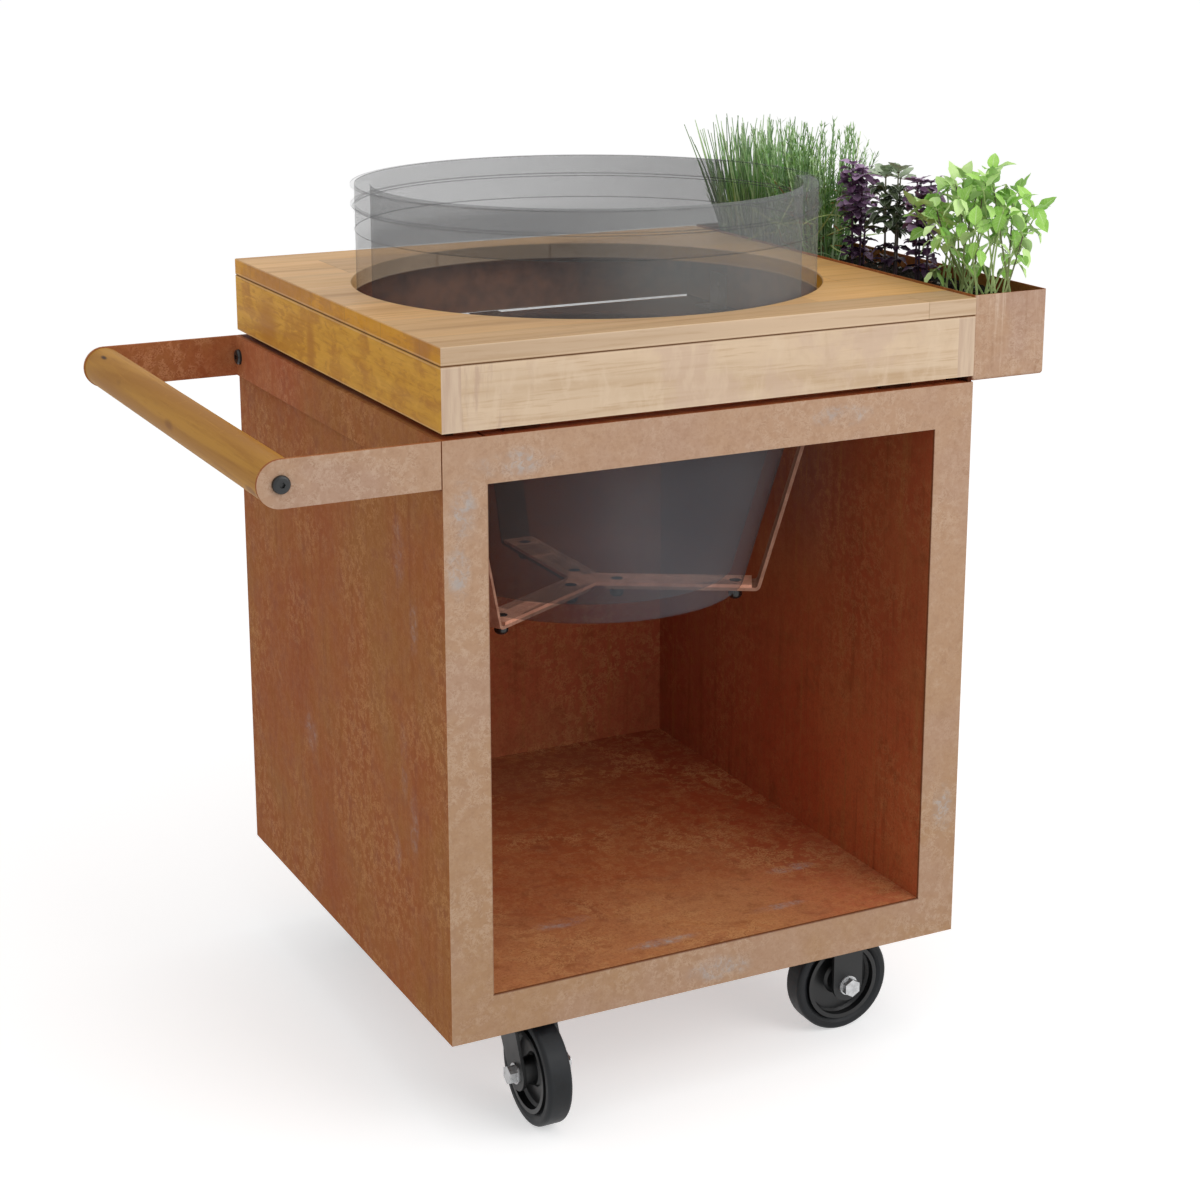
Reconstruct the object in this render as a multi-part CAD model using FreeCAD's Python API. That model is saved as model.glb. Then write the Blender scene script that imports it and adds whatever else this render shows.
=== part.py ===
import FreeCAD, Part
import math
import os
from FreeCAD import Vector

# Grill table on casters: an open steel cabinet, a wooden worktop with a round cut-out, a hanging
# cradle with a ceramic cooker bowl in it, a side handle and a planter. Millimetres, +Z up.
# The pieces are drawn about the cabinet's vertical centre line with the ground at z = 0, and are
# moved when they are written, so that the origin is the middle of the whole footprint.

# Cabinet
cabinet_height = 670.0
border_width = 50.0
sheet_thickness = 3.0
sheet_bend_radius = 2.0
back_flange_width = 30.0
back_flange_drop = 25.0
base_rail_width = 116.0

# Worktop
shadow_gap = 7.0
apron_height = 69.0
apron_thickness = 22.0
slab_thickness = 20.0
cutout_clearance = 6.5
worktop_side_margin = 48.5
worktop_end_margin = 48.5
seam_chamfer = 1.0
slab_edge_round = 1.2
pad_length = 40.0
pad_width = 8.0
pad_gap = 1.0
pad_side_inset = 37.0
pad_end_inset = 92.0
bracket_thickness = 2.5
bracket_leg = 25.0
bracket_upright = 45.0
bracket_length = 40.0
bracket_inset = 110.0
bracket_screw_reach = 15.0
bracket_screw_height = 30.0

# Hanger plate and cradle
hanger_plate_inset = 22.0
hanger_plate_thickness = 3.0
hook_clearance = 0.3
cradle_drop = 273.0
cradle_plate_thickness = 4.0
cradle_arm_width = 40.0
cradle_arm_setback = 9.0
cradle_first_arm_angle = -30.0
cradle_arms = 3
cradle_bolt_inner_reach = 36.0
cradle_bolt_end_inset = 20.0
cradle_bolt_radius = 4.0
cradle_bolt_head_radius = 7.5
cradle_bolt_head_depth = 3.5
cradle_bolt_sink = 0.2
cradle_nut_radius = 8.5
cradle_nut_height = 15.0
cradle_nut_round = 6.0
cradle_nut_cap = 2.0
strap_thickness = 4.0
strap_bend_radius = 4.0
strap_foot_start = 22.0
strap_base_gap = 20.0
strap_hook_gap = 18.3
strap_hook_length = 13.0

# Cooker bowl
bowl_base_radius = 189.0
bowl_body_radius = 270.0
bowl_height = 483.0
bowl_wall = 18.0
bowl_floor = 20.0
bowl_base_round = 6.0
band_clearance = 0.05
upper_band_thickness = 5.0
upper_band_height = 24.0
band_groove = 2.0
lower_band_thickness = 2.6
lower_band_height = 28.0

# Handle
handle_reach = 196.0
handle_bar_height = 50.0
handle_bar_thickness = 4.0
handle_corner_round = 3.0
dowel_diameter = 48.0
dowel_end_clearance = 0.2
handle_bolt_radius = 4.0
handle_bolt_head_radius = 9.5
handle_bolt_head_height = 5.0
dowel_bolt_length = 60.0
side_bolt_length = 20.0
side_bolt_inset = 16.0

# Planter and its herbs
planter_width = 100.0
planter_height = 98.0
planter_end_gap = 3.0
planter_wall = 2.0
planter_corner_round = 4.0
planter_side_clearance = 0.3
planter_tab_length = 60.0
planter_tab_inset = 172.0
planter_tab_gap = 1.0
soil_drop = 14.0
soft_clearance = 0.3
chives_height = 158.0
chives_half_width = 46.0
rosemary_height = 160.0
rosemary_half_width = 44.0
purple_basil_height = 130.0
purple_basil_half_width = 46.0
sage_height = 126.0
sage_half_width = 46.0
green_basil_height = 168.0
green_basil_half_width = 62.0
green_basil_lean = 8.0

# Each herb's middle and half length along the bed, in shares of half the bed's length
chives_place = (0.744, 0.256)
rosemary_place = (0.285, 0.188)
purple_basil_places = ((-0.018, 0.094), (-0.448, 0.086))
sage_place = (-0.24, 0.103)
green_basil_place = (-0.781, 0.231)

# Outlines of the herbs from the foot up, as (share of height, share of half width)
upright_outline = [(0, 0.75), (0.5, 1.0), (0.85, 0.95), (1, 0.6)]
bushy_outline = [(0, 0.45), (0.3, 0.9), (0.6, 1.0), (0.9, 0.75), (1, 0.4)]
stemmed_outline = [(0, 0.3), (0.3, 0.35), (0.45, 0.85), (0.7, 1.0), (0.92, 0.7), (1, 0.35)]

# Casters
caster_recess = 26.0
caster_side_inset = 65.0
caster_end_inset = 72.0
caster_trail = 42.0
caster_plate_thickness = 4.0
caster_plate_length = 105.0
caster_plate_width = 86.0
caster_plate_corner_round = 8.0
caster_bolt_spacing_long = 80.0
caster_bolt_spacing_short = 60.0
caster_bolt_radius = 4.0
caster_bolt_head_height = 5.3
caster_bolt_spare = 3.0
wheel_radius = 62.5
tyre_width = 30.0
tyre_depth = 15.0
tyre_shoulder_round = 5.0
tyre_inner_step = 4.0
tyre_crest = 6.0
rim_lip_width = 31.0
rim_lip_thickness = 5.0
rim_web_thickness = 8.0
hub_width = 44.0
hub_radius = 17.0
hub_taper = 3.0
bush_radius = 8.0
running_clearance = 0.05
axle_radius = 6.0
axle_nut_flats = 19.0
axle_nut_height = 9.0
axle_stub = 2.5
washer_radius = 12.0
washer_thickness = 2.0
fork_side_clearance = 0.3
fork_thickness = 4.0
fork_bend_radius = 4.0
fork_tip_radius = 20.0
fork_shoulder = 27.0
fork_wheel_gap = 8.0
fork_crown_drop = 19.0
race_radius = 33.0
race_chamfer = 4.0
race_gap = 0.3
king_pin_radius = 6.0
king_pin_head_radius = 11.0
king_pin_head_height = 3.5

# Small fasteners
small_screw_radius = 2.5
small_screw_head_radius = 4.8
small_screw_head_height = 2.6
small_screw_length = 12.0
wood_screw_length = 16.0
nut_height = 6.5
nut_flats = 13.0

# Domed socket screws, in shares of the head's radius or height
screw_dome_share = 0.6
screw_socket_share = 0.6
screw_socket_floor_share = 0.45

# Levels, faces and places worked out from the sizes above
cutout_radius = bowl_body_radius + cutout_clearance
half_width = cutout_radius + worktop_side_margin
half_depth = cutout_radius + worktop_end_margin
crown_underside = 2 * wheel_radius + fork_wheel_gap
swivel_crown_top = crown_underside + fork_thickness
caster_plate_underside = crown_underside + fork_crown_drop
caster_height = caster_plate_underside + caster_plate_thickness
cabinet_bottom = caster_height - caster_recess
cabinet_top = cabinet_bottom + cabinet_height
inner_half_width = half_width - sheet_thickness
inner_half_depth = half_depth - sheet_thickness
bay_half_width = half_width - border_width
bay_floor_top = cabinet_bottom + border_width
bay_floor_underside = bay_floor_top - sheet_thickness
opening_top = cabinet_top - border_width
wood_bottom = cabinet_top + shadow_gap
slab_bottom = wood_bottom + apron_height
slab_top = slab_bottom + slab_thickness
apron_inner_x = half_width - apron_thickness
apron_inner_y = half_depth - apron_thickness
hanger_half_width = half_width - hanger_plate_inset
hanger_half_depth = half_depth - hanger_plate_inset
hanger_top = cabinet_top + hanger_plate_thickness
cradle_top = cabinet_top - cradle_drop
cradle_underside = cradle_top - cradle_plate_thickness
strap_underside = cradle_underside - strap_thickness
strap_corner_reach = bowl_base_radius + strap_base_gap
strap_hook_reach = bowl_body_radius + strap_hook_gap
lean_slope = (strap_hook_reach - strap_corner_reach) / (hanger_top - strap_underside)
lean_angle = math.atan(lean_slope)
strap_bend_tangent = strap_bend_radius * math.tan((math.pi / 2 - lean_angle) / 2)
hook_corner_reach = math.hypot(strap_hook_reach + strap_bend_tangent, cradle_arm_width / 2)
hanger_hole_radius = hook_corner_reach + hook_clearance
cradle_arm_reach = strap_corner_reach - cradle_arm_setback
cradle_bolt_outer_reach = cradle_arm_reach - cradle_bolt_end_inset
handle_axis_x = -(half_width + handle_reach - handle_bar_height / 2)
handle_axis_z = cabinet_top - handle_bar_height / 2
handle_face_x = -(half_width + handle_bar_thickness)
dowel_half_length = half_depth - handle_bar_thickness - dowel_end_clearance
planter_inner_x = half_width + planter_side_clearance
planter_outer_x = planter_inner_x + planter_width
planter_middle_x = (planter_inner_x + planter_outer_x) / 2
planter_half_length = half_depth - planter_end_gap
bed_half_length = planter_half_length - planter_wall
planter_screw_x = (hanger_half_width + inner_half_width) / 2
soil_top = cabinet_top + planter_height - soil_drop
plant_foot = soil_top + soft_clearance
caster_side_offset = bay_half_width - caster_side_inset
caster_end_offset = half_depth - caster_end_inset
base_rail_web_top = caster_height + sheet_thickness
fork_inner_half = hub_width / 2 + fork_side_clearance
fork_outer_half = fork_inner_half + fork_thickness
rim_radius = wheel_radius - tyre_depth

# The origin is the middle of the whole footprint
reach_left = half_width + handle_reach
basil_reach = planter_middle_x + green_basil_lean + green_basil_half_width
wheel_reach = caster_end_offset + caster_trail + wheel_radius
reach_right = max(planter_outer_x, basil_reach)
reach_front = max(half_depth + handle_bolt_head_height, wheel_reach)
reach_back = half_depth + handle_bolt_head_height
origin_shift = Vector((reach_left - reach_right) / 2, (reach_front - reach_back) / 2, 0)

ORIGIN = Vector(0, 0, 0)
RIGHT = Vector(1, 0, 0)
BACK = Vector(0, 1, 0)
UP = Vector(0, 0, 1)


# Plain helpers

def write(name, solids):
    """One sub-part, moved to the origin and written under its name."""
    shape = solids[0].copy() if len(solids) == 1 else Part.makeCompound(solids)
    shape.translate(origin_shift)
    shape.exportStep("parts/" + name + ".step")


def block(x, y, z):
    """A box between two values along each axis."""
    low = Vector(min(x), min(y), min(z))
    return Part.makeBox(abs(x[1] - x[0]), abs(y[1] - y[0]), abs(z[1] - z[0]), low)


def centred(middle, length):
    return (middle - length / 2, middle + length / 2)


def both(value):
    return (-value, value)


def rod(start, direction, radius, length):
    return Part.makeCylinder(radius, length, start, direction)


def tube(outer_radius, inner_radius, length):
    return Part.makeCylinder(outer_radius, length).cut(Part.makeCylinder(inner_radius, length))


def cut_all(shape, tools):
    return shape.cut(Part.makeCompound(tools)) if tools else shape


def mirrored_x(shape):
    return shape.mirror(ORIGIN, RIGHT)


def left_normal(direction):
    return Vector(-direction.y, direction.x, 0)


def line(start, end):
    return Part.LineSegment(start, end).toShape()


def folded_section(corners, thickness, inner_radius):
    """A bent strip in the XY plane. It lies to the left of its corners, and its bends are round."""
    points = [Vector(x, y, 0) for x, y in corners]
    first_way = (points[1] - points[0]).normalize()
    last_way = (points[-1] - points[-2]).normalize()
    right_at = points[0]
    left_at = points[0] + left_normal(first_way) * thickness
    last_left = points[-1] + left_normal(last_way) * thickness
    edges = [line(right_at, left_at), line(points[-1], last_left)]
    for before, corner, after in zip(points, points[1:], points[2:]):
        way_in = (corner - before).normalize()
        way_out = (after - corner).normalize()
        turn = math.atan2(way_in.cross(way_out).z, way_in.dot(way_out))
        side = 1 if turn > 0 else -1
        radius = inner_radius + thickness if turn > 0 else inner_radius
        other_radius = radius - side * thickness
        tangent = radius * math.tan(abs(turn) / 2)
        start = corner - way_in * tangent
        end = corner + way_out * tangent
        centre = start + left_normal(way_in) * (side * radius)
        outward = (corner - centre).normalize()
        left_start = start + left_normal(way_in) * thickness
        left_end = end + left_normal(way_out) * thickness
        edges.append(line(right_at, start))
        edges.append(Part.Arc(start, centre + outward * radius, end).toShape())
        edges.append(line(left_at, left_start))
        edges.append(Part.Arc(left_start, centre + outward * other_radius, left_end).toShape())
        right_at = end
        left_at = left_end
    edges.append(line(right_at, points[-1]))
    edges.append(line(left_at, last_left))
    return Part.Face(Part.Wire(Part.__sortEdges__(edges)))


def polygon(points):
    return Part.Face(Part.makePolygon([Vector(x, y, 0) for x, y in points + [points[0]]]))


def along_y(face, y):
    """Stands a face drawn as (x, z) upright and extrudes it between two values of y."""
    upright = face.copy()
    upright.rotate(ORIGIN, RIGHT, 90)
    upright.translate(Vector(0, y[0], 0))
    return upright.extrude(Vector(0, y[1] - y[0], 0))


def along_x(face, x):
    """Stands a face drawn as (y, z) upright and extrudes it between two values of x."""
    upright = face.copy()
    upright.rotate(ORIGIN, RIGHT, 90)
    upright.rotate(ORIGIN, UP, 90)
    upright.translate(Vector(x[0], 0, 0))
    return upright.extrude(Vector(x[1] - x[0], 0, 0))


def turned(points):
    """A solid of revolution about Z from (radius, z) points."""
    face = polygon(points)
    face.rotate(ORIGIN, RIGHT, 90)
    return face.revolve(ORIGIN, UP, 360)


def placed(shape, position, direction):
    """Puts a shape drawn along +Z at a position, pointing in a direction."""
    moved = shape.copy()
    moved.Placement = FreeCAD.Placement(position, FreeCAD.Rotation(UP, direction)).multiply(moved.Placement)
    return moved


def hexagon(flats, height):
    corner = flats / math.sqrt(3)
    angles = [math.radians(60 * k) for k in range(6)]
    return polygon([(corner * math.cos(a), corner * math.sin(a)) for a in angles]).extrude(UP * height)


def button_screw(head_radius, head_height, shank_radius, length):
    """A domed socket screw along +Z, with the underside of its head at z = 0."""
    dome = Part.makeCylinder(head_radius, head_height)
    top_edge = [e for e in dome.Edges if e.BoundBox.ZMin > head_height / 2]
    dome = dome.makeFillet(head_height * screw_dome_share, top_edge)
    socket = hexagon(head_radius * screw_socket_share, head_height)
    socket.translate(UP * (head_height * screw_socket_floor_share))
    shank = Part.makeCylinder(shank_radius, length, -UP * length)
    return dome.cut(socket).fuse(shank)


def hex_nut(flats, height, bore_radius):
    """A hexagon nut along +Z with its seat at z = 0."""
    return hexagon(flats, height).cut(Part.makeCylinder(bore_radius, height))


def flat_edges(shape, height):
    """The edges of a shape that lie at one height."""
    return [e for e in shape.Edges if abs(e.BoundBox.ZMin - height) + abs(e.BoundBox.ZMax - height) < 0.01]


# Cabinet sheets

def front_frame():
    y = (-half_depth, -inner_half_depth)
    plate = block(both(half_width), y, (cabinet_bottom, cabinet_top))
    return plate.cut(block(both(bay_half_width), y, (bay_floor_top, opening_top)))


def side_panel(side, bolts):
    x = (side * inner_half_width, side * half_width)
    return cut_all(block(x, both(inner_half_depth), (cabinet_bottom, cabinet_top)), bolts)


def back_panel():
    return block(both(half_width), (inner_half_depth, half_depth), (cabinet_bottom, cabinet_top))


def bay_wall(side, bolts):
    """Inner wall of a hollow side, folded over at the top into the ledge under the worktop."""
    path = [(inner_half_width, cabinet_top), (bay_half_width, cabinet_top)]
    path.append((bay_half_width, bay_floor_underside))
    section = folded_section(path, sheet_thickness, sheet_bend_radius)
    wall = along_y(section, both(inner_half_depth))
    return cut_all(wall if side > 0 else mirrored_x(wall), bolts)


def bay_floor():
    return block(both(bay_half_width), both(inner_half_depth), (bay_floor_underside, bay_floor_top))


def front_top_rail():
    """Channel behind the top border of the front."""
    front = -inner_half_depth
    back = border_width - half_depth
    path = [(front, opening_top), (back, opening_top), (back, cabinet_top), (front, cabinet_top)]
    return along_x(folded_section(path, sheet_thickness, sheet_bend_radius), both(bay_half_width))


def back_top_angle():
    """Angle along the top of the back that carries the hanger plate and the worktop."""
    low = (inner_half_depth, cabinet_top - back_flange_drop)
    path = [low, (inner_half_depth, cabinet_top), (inner_half_depth - back_flange_width, cabinet_top)]
    return along_x(folded_section(path, sheet_thickness, sheet_bend_radius), both(bay_half_width))


def base_rail(side, bolts):
    """Channel under the bay floor that the casters of one side are bolted to."""
    low, high = centred(side * caster_side_offset, base_rail_width)
    path = [(low, bay_floor_underside), (low, caster_height)]
    path += [(high, caster_height), (high, bay_floor_underside)]
    rail = along_y(folded_section(path, sheet_thickness, sheet_bend_radius), both(inner_half_depth))
    return cut_all(rail, bolts)


# Worktop

def apron_rail(x, y):
    """One rail of the wooden frame, with a small chamfer under the slab that makes the dark seam."""
    rail = block(x, y, (wood_bottom, slab_bottom))
    return rail.makeChamfer(seam_chamfer, [e for e in flat_edges(rail, slab_bottom) if outer_edge(e)])


def outer_edge(edge):
    """True for an edge that lies on the outline of the worktop."""
    box = edge.BoundBox
    on_side = box.XLength < 0.01 and abs(abs(box.XMin) - half_width) < 0.01
    on_end = box.YLength < 0.01 and abs(abs(box.YMin) - half_depth) < 0.01
    return on_side or on_end


def worktop_slab():
    slab = block(both(half_width), both(half_depth), (slab_bottom, slab_top))
    slab = slab.cut(rod(UP * slab_bottom, UP, cutout_radius, slab_thickness))
    slab = slab.makeChamfer(seam_chamfer, [e for e in flat_edges(slab, slab_bottom) if outer_edge(e)])
    return slab.makeFillet(slab_edge_round, flat_edges(slab, slab_top))


def spacer_pads():
    """Pads on the steel ledge, beside the hanger plate, that keep the shadow gap open. The back has none."""
    across = hanger_half_width + pad_gap + pad_width / 2
    along = hanger_half_depth + pad_gap + pad_width / 2
    pad_side_offset = inner_half_depth - pad_side_inset
    pad_end_offset = inner_half_width - pad_end_inset
    z = (cabinet_top, wood_bottom)
    pads = []
    for side in (-1, 1):
        for y in (-pad_side_offset, 0, pad_side_offset):
            pads.append(block(centred(side * across, pad_width), centred(y, pad_length), z))
    for x in both(pad_end_offset):
        pads.append(block(centred(x, pad_length), centred(-along, pad_width), z))
    return pads


def bracket_places():
    return [(side, y) for side in (-1, 1) for y in both(half_depth - bracket_inset)]


def bracket_down_screw(side, y):
    place = Vector(side * (apron_inner_x - bracket_screw_reach), y, hanger_top + bracket_thickness)
    return place, UP


def bracket_side_screw(side, y):
    place = Vector(side * (apron_inner_x - bracket_thickness), y, hanger_top + bracket_screw_height)
    return place, Vector(-side, 0, 0)


def worktop_brackets(screw_holes):
    """Small angles that hold the wooden frame down on the hanger plate."""
    path = [(apron_inner_x - bracket_leg, hanger_top), (apron_inner_x, hanger_top)]
    path.append((apron_inner_x, hanger_top + bracket_upright))
    section = folded_section(path, bracket_thickness, sheet_bend_radius)
    brackets = []
    for side, y in bracket_places():
        angle = along_y(section, centred(y, bracket_length))
        brackets.append(cut_all(angle if side > 0 else mirrored_x(angle), screw_holes))
    return brackets


def hanger_plate(screw_holes):
    """Plate with the round hole that the cradle's hooks hang on."""
    plate = block(both(hanger_half_width), both(hanger_half_depth), (cabinet_top, hanger_top))
    plate = plate.cut(rod(UP * cabinet_top, UP, hanger_hole_radius, hanger_plate_thickness))
    return cut_all(plate, screw_holes)


# Cradle

def arm_angles():
    return [cradle_first_arm_angle + 360.0 * k / cradle_arms for k in range(cradle_arms)]


def at_arm(shape, angle):
    turned_shape = shape.copy()
    turned_shape.rotate(ORIGIN, UP, angle)
    return turned_shape


def cradle_bolt():
    """Countersunk bolt on the Z axis, a little below the top of the cradle plate."""
    top = cradle_top - cradle_bolt_sink
    neck = top - cradle_bolt_head_depth
    end = strap_underside - (cradle_nut_height - cradle_nut_cap)
    radius = cradle_bolt_radius
    return turned([(0, top), (cradle_bolt_head_radius, top), (radius, neck), (radius, end), (0, end)])


def cradle_bolt_hole():
    """Room for the bolt, open at the top of the plate."""
    slope = (cradle_bolt_head_radius - cradle_bolt_radius) / cradle_bolt_head_depth
    mouth = cradle_bolt_head_radius + cradle_bolt_sink * slope
    neck = cradle_top - cradle_bolt_sink - cradle_bolt_head_depth
    outline = [(0, cradle_top), (mouth, cradle_top), (cradle_bolt_radius, neck)]
    outline += [(cradle_bolt_radius, strap_underside), (0, strap_underside)]
    return turned(outline)


def cradle_nut():
    """Domed nut under the strap."""
    nut = rod(UP * strap_underside, -UP, cradle_nut_radius, cradle_nut_height)
    nut = nut.makeFillet(cradle_nut_round, flat_edges(nut, strap_underside - cradle_nut_height))
    return nut.cut(rod(UP * strap_underside, -UP, cradle_bolt_radius, cradle_nut_height - cradle_nut_cap))


def at_each_bolt(shape):
    copies = []
    for angle in arm_angles():
        for reach in (cradle_bolt_inner_reach, cradle_bolt_outer_reach):
            moved = shape.copy()
            moved.translate(RIGHT * reach)
            copies.append(at_arm(moved, angle))
    return copies


def cradle_plate():
    arm = block((0, cradle_arm_reach), centred(0, cradle_arm_width), (cradle_underside, cradle_top))
    arms = [at_arm(arm, angle) for angle in arm_angles()]
    return cut_all(arms[0].multiFuse(arms[1:]).removeSplitter(), at_each_bolt(cradle_bolt_hole()))


def hanger_strap(angle):
    """Flat strap bolted under one arm, bent up along the bowl and hooked over the hanger plate."""
    path = [(strap_foot_start, strap_underside), (strap_corner_reach, strap_underside)]
    path += [(strap_hook_reach, hanger_top), (strap_hook_reach + strap_hook_length, hanger_top)]
    section = folded_section(path, strap_thickness, strap_bend_radius)
    strap = at_arm(along_y(section, centred(0, cradle_arm_width)), angle)
    return cut_all(strap, at_each_bolt(cradle_bolt_hole()))


# Cooker bowl

def cooker_bowl():
    """Flat-bottomed bowl with leaning sides and a straight upper body."""
    low = cradle_top
    top = low + bowl_height
    shoulder = low + (bowl_body_radius - bowl_base_radius) / lean_slope
    wall_across = bowl_wall / math.cos(lean_angle)
    inside = bowl_body_radius - bowl_wall
    inside_base = bowl_base_radius + bowl_floor * lean_slope - wall_across
    inside_shoulder = low + (inside + wall_across - bowl_base_radius) / lean_slope
    floor = low + bowl_floor
    outline = [(0, low), (bowl_base_radius, low), (bowl_body_radius, shoulder), (bowl_body_radius, top)]
    outline += [(inside, top), (inside, inside_shoulder), (inside_base, floor), (0, floor)]
    bowl = turned(outline)
    return bowl.makeFillet(bowl_base_round, flat_edges(bowl, low))


def bowl_bands():
    """Two bands round the rim with a narrow groove between them."""
    inside = bowl_body_radius + band_clearance
    top = cradle_top + bowl_height
    low = top - upper_band_height
    outer = bowl_body_radius + upper_band_thickness
    upper = turned([(inside, low), (outer, low), (outer, top), (inside, top)])
    high = low - band_groove
    foot = high - lower_band_height
    outer = bowl_body_radius + lower_band_thickness
    lower = turned([(inside, foot), (outer, foot + lower_band_thickness), (outer, high), (inside, high)])
    return [upper, lower]


# Handle

def side_bolt_places():
    return [Vector(handle_face_x, y, handle_axis_z) for y in both(half_depth - side_bolt_inset)]


def handle_bracket():
    """Flat bar bent into a U round the cabinet's side, with round ends on its two arms."""
    z = centred(handle_axis_z, handle_bar_height)
    shape = block((handle_face_x, -half_width), both(half_depth), z)
    for side in (-1, 1):
        y = (side * (half_depth - handle_bar_thickness), side * half_depth)
        shape = shape.fuse(block((handle_axis_x, -half_width), y, z))
        start = Vector(handle_axis_x, min(y), handle_axis_z)
        shape = shape.fuse(rod(start, BACK, handle_bar_height / 2, handle_bar_thickness))
    shape = shape.removeSplitter()
    upright = [e for e in shape.Edges if e.BoundBox.ZLength > handle_bar_height / 2]
    bends = [e for e in upright if e.BoundBox.XMin > -half_width - 0.01]
    return cut_all(shape.makeFillet(handle_corner_round, bends), side_bolt_holes() + dowel_bolt_holes())


def side_bolt_holes():
    return [rod(place, RIGHT, handle_bolt_radius, side_bolt_length) for place in side_bolt_places()]


def dowel_bolt_holes():
    holes = []
    for side in (-1, 1):
        start = Vector(handle_axis_x, side * half_depth, handle_axis_z)
        holes.append(rod(start, Vector(0, -side, 0), handle_bolt_radius, dowel_bolt_length))
    return holes


def handle_dowel():
    start = Vector(handle_axis_x, -dowel_half_length, handle_axis_z)
    return cut_all(rod(start, BACK, dowel_diameter / 2, 2 * dowel_half_length), dowel_bolt_holes())


def handle_bolts():
    """Black socket screws at the dowel's ends and on the cabinet's side, with nuts inside the side."""
    sizes = (handle_bolt_head_radius, handle_bolt_head_height, handle_bolt_radius)
    pieces = []
    for side in (-1, 1):
        place = Vector(handle_axis_x, side * half_depth, handle_axis_z)
        pieces.append(placed(button_screw(*sizes, dowel_bolt_length), place, Vector(0, side, 0)))
    for place in side_bolt_places():
        pieces.append(placed(button_screw(*sizes, side_bolt_length), place, -RIGHT))
        nut_place = Vector(-inner_half_width, place.y, place.z)
        pieces.append(placed(hex_nut(nut_flats, nut_height, handle_bolt_radius), nut_place, RIGHT))
    return pieces


# Planter

def rounded_tray(x, y, z, radius):
    """A box whose upright and bottom edges are round."""
    shape = block(x, y, z)
    soft = [e for e in shape.Edges if e.BoundBox.ZMin < max(z) - 0.01]
    return shape.makeFillet(radius, soft)


def planter_tab_places():
    return both(planter_half_length - planter_tab_inset)


def planter_screw_places():
    return [Vector(planter_screw_x, y, cabinet_top + planter_wall) for y in planter_tab_places()]


def planter_tray(screw_holes):
    """Thin steel trough with two tabs that reach into the shadow gap."""
    z = (cabinet_top, cabinet_top + planter_height)
    x = (planter_inner_x, planter_outer_x)
    outer = rounded_tray(x, both(planter_half_length), z, planter_corner_round)
    inner_x = (planter_inner_x + planter_wall, planter_outer_x - planter_wall)
    inner_z = (cabinet_top + planter_wall, cabinet_top + planter_height)
    inner_round = planter_corner_round - planter_wall
    tray = outer.cut(rounded_tray(inner_x, both(bed_half_length), inner_z, inner_round))
    tab_x = (hanger_half_width + planter_tab_gap, planter_inner_x + planter_wall)
    tab_z = (cabinet_top, cabinet_top + planter_wall)
    for y in planter_tab_places():
        tray = tray.fuse(block(tab_x, centred(y, planter_tab_length), tab_z))
    return cut_all(tray.removeSplitter(), screw_holes)


def soil():
    gap = planter_wall + soft_clearance
    x = (planter_inner_x + gap, planter_outer_x - gap)
    y = both(bed_half_length - soft_clearance)
    return rounded_tray(x, y, (cabinet_top + gap, soil_top), planter_corner_round)


def foliage(place, height, half_width, outline, lean=0):
    """A closed clump of one herb that stands on the soil."""
    middle, half_length = [share * bed_half_length for share in place]
    profile = [(share * half_width, height * up) for up, share in outline]
    clump = turned([(0, 0)] + profile + [(0, height)])
    stretch = FreeCAD.Matrix()
    stretch.scale(Vector(1, half_length / half_width, 1))
    clump = clump.transformGeometry(stretch)
    clump.translate(Vector(planter_middle_x + lean, middle, plant_foot))
    return clump


def herbs():
    """Clumps in a row from the back of the planter to its front, with purple basil round the sage."""
    chives = foliage(chives_place, chives_height, chives_half_width, upright_outline)
    rosemary = foliage(rosemary_place, rosemary_height, rosemary_half_width, upright_outline)
    purple_sizes = (purple_basil_height, purple_basil_half_width, bushy_outline)
    purple = [foliage(place, *purple_sizes) for place in purple_basil_places]
    sage = foliage(sage_place, sage_height, sage_half_width, bushy_outline)
    green_sizes = (green_basil_place, green_basil_height, green_basil_half_width)
    green = foliage(*green_sizes, stemmed_outline, green_basil_lean)
    names = ("chives", "rosemary", "purple_basil", "sage", "green_basil")
    return dict(zip(names, ([chives], [rosemary], purple, [sage], [green])))


# Casters. Each is drawn with its mounting plate over the origin and its axle along X, and the
# swivelling ones trail towards -Y. The fixed ones are then turned by a quarter.

def caster_position(side, end):
    return Vector(side * caster_side_offset, end * caster_end_offset, 0)


def set_caster(shape, side, end):
    moved = shape.copy()
    if side > 0:
        moved.rotate(ORIGIN, UP, 90)
    moved.translate(caster_position(side, end))
    return moved


def caster_bolt_places(side, end):
    """The plate's four bolt places, on the plate's underside."""
    half_x = caster_bolt_spacing_short / 2
    half_y = caster_bolt_spacing_long / 2
    if side > 0:
        half_x, half_y = half_y, half_x
    middle = caster_position(side, end) + UP * caster_plate_underside
    return [middle + Vector(x, y, 0) for x in both(half_x) for y in both(half_y)]


def caster_bolt_holes(side, end):
    length = base_rail_web_top - caster_plate_underside
    return [rod(place, UP, caster_bolt_radius, length) for place in caster_bolt_places(side, end)]


def caster_bolts(side, end):
    """Hexagon bolts from below, with nuts on the rail's web."""
    shank = base_rail_web_top - caster_plate_underside + nut_height + caster_bolt_spare
    pieces = []
    for place in caster_bolt_places(side, end):
        head = hexagon(nut_flats, caster_bolt_head_height)
        head.translate(-UP * caster_bolt_head_height)
        bolt = head.fuse(rod(ORIGIN, UP, caster_bolt_radius, shank))
        pieces.append(placed(bolt, place, UP))
        seat = Vector(place.x, place.y, base_rail_web_top)
        pieces.append(placed(hex_nut(nut_flats, nut_height, caster_bolt_radius), seat, UP))
    return pieces


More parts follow.
